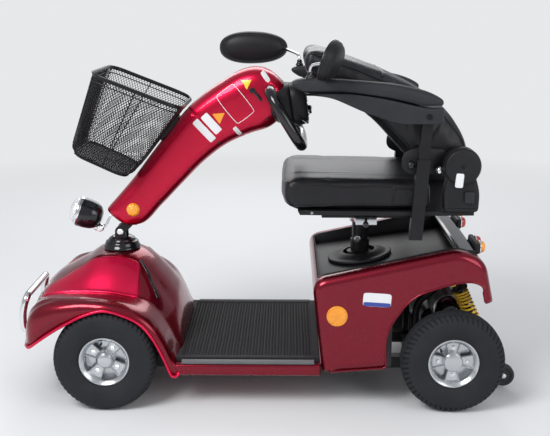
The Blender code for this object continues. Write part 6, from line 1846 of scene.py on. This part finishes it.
@dataclass
class Studio:
    """Pale floor, soft light and the camera."""

    camera_place: Point = (-0.063, 2.81, 1.165)
    look: Point = (0.0143, -0.9735, -0.2282)
    focal_pixels: float = 930.0
    frame_width: int = 550
    sensor: float = 36.0
    floor_half: float = 14.0
    backdrop: Colour = (0.80, 0.81, 0.82)
    sky_colour: Colour = (0.93, 0.95, 1.0)
    sky_strength: float = 0.50
    # Name, place, height of the point that it faces, side in metres, watts
    lamps: tuple[tuple[str, Point, float, float, float], ...] = (
        ("key", (1.8, 2.4, 3.0), 0.4, 1.6, 105), ("fill", (-2.6, 2.6, 1.9), 0.4, 2.0, 34),
        ("rim", (0.2, -3.0, 2.4), 0.5, 2.4, 40),
    )

    def mix(self, tree: Any, share: Any, first: Any, second: Any, out: str) -> None:
        """Links a mix of two shaders to a tree's output node.

        Args:
            tree: The node tree.
            share: How much of the second.
            first: One shader.
            second: The other.
            out: The output node's name.
        """
        node = tree.nodes.new("ShaderNodeMixShader")
        for socket, source in zip(node.inputs, (share, first, second)):
            tree.links.new(source, socket)
        tree.links.new(node.outputs["Shader"], tree.nodes[out].inputs["Surface"])

    def floor_material(self) -> Any:
        """Pale floor that fades into the backdrop's colour with distance.

        Returns:
            The material.
        """
        graph = Graph("pale_floor")
        stops = [(0.3, self.backdrop), (0.7, tuple(part * 1.02 for part in self.backdrop))]
        graph.feed("Base Color", graph.ramp(graph.noise(1.3, 2), stops))
        graph.shader.inputs["Roughness"].default_value = 0.9
        nodes = graph.tree.nodes
        distance = nodes.new("ShaderNodeVectorMath")
        distance.operation = "LENGTH"
        graph.tree.links.new(graph.place, distance.inputs[0])
        far = graph.node("MapRange", distance.outputs["Value"], "Value", "Result", From_Min=1.4, From_Max=4.5)
        glow = nodes.new("ShaderNodeEmission")
        glow.inputs["Color"].default_value = (*self.backdrop, 1)
        self.mix(graph.tree, far, graph.shader.outputs["BSDF"], glow.outputs["Emission"], "Material Output")
        return graph.material

    def sky(self) -> None:
        """World light, with the backdrop's colour for camera and transmitted rays."""
        world = bpy.data.worlds.new("studio")
        bpy.context.scene.world = world
        world.use_nodes = True
        tree = world.node_tree
        light, plain = tree.nodes["Background"], tree.nodes.new("ShaderNodeBackground")
        light.inputs["Color"].default_value = (*self.sky_colour, 1)
        light.inputs["Strength"].default_value = self.sky_strength
        plain.inputs["Color"].default_value = (*self.backdrop, 1)
        rays, shown = tree.nodes.new("ShaderNodeLightPath"), tree.nodes.new("ShaderNodeMath")
        shown.operation = "MAXIMUM"
        for k, kind in enumerate(("Is Camera Ray", "Is Transmission Ray")):
            tree.links.new(rays.outputs[kind], shown.inputs[k])
        out = (light.outputs["Background"], plain.outputs["Background"], "World Output")
        self.mix(tree, shown.outputs["Value"], *out)

    def add(self, name: str, data: Any, place: Point = (0, 0, 0), look: Any = None) -> Any:
        """Puts an object into the scene.

        Args:
            name: Its name.
            data: What it shows.
            place: Where it is.
            look: The direction that it faces, or none.

        Returns:
            The object.
        """
        item = bpy.data.objects.new(name, data)
        item.location = place
        if look is not None:
            item.rotation_euler = Vector(look).to_track_quat("-Z", "Y").to_euler()
        bpy.context.scene.collection.objects.link(item)
        return item

    def build(self) -> None:
        """Makes the camera, floor, lamps and world."""
        scene = bpy.context.scene
        data = bpy.data.cameras.new("camera")
        data.sensor_width = self.sensor
        data.lens = self.focal_pixels / self.frame_width * self.sensor
        scene.camera = self.add("camera", data, self.camera_place, self.look)
        half = self.floor_half
        mesh = bpy.data.meshes.new("floor")
        mesh.from_pydata([(-half, -half, 0), (half, -half, 0), (half, half, 0), (-half, half, 0)], [], [(0, 1, 2, 3)])
        mesh.materials.append(self.floor_material())
        floor = self.add("floor", mesh)
        for name, place, aim, size, power in self.lamps:
            data = bpy.data.lights.new(name, "AREA")
            data.energy, data.size = power, size
            self.add(name, data, place, Vector((0, 0, aim)) - Vector(place))
        self.sky()
        scene.view_settings.view_transform = "Standard"
        LOG.info("studio ready")


def main() -> None:
    """Builds and dresses everything in order."""
    logging.basicConfig(level=logging.INFO)
    Studio().build()
    Dresser().dress(frame["nodes"])
    wheels = [Wheel(place, side, turn) for place, turn in (("front", math.radians(34)), ("rear", 0.0)) for side in Side]
    upper = [RearBody(), Suspension(), Tiller(), Basket(), Seat(), Backrest(), *(Armrest(side) for side in Side)]
    for part in [*wheels, FrontBody(), Deck(), *upper]:
        part.build()


if __name__ == "__main__":
    main()
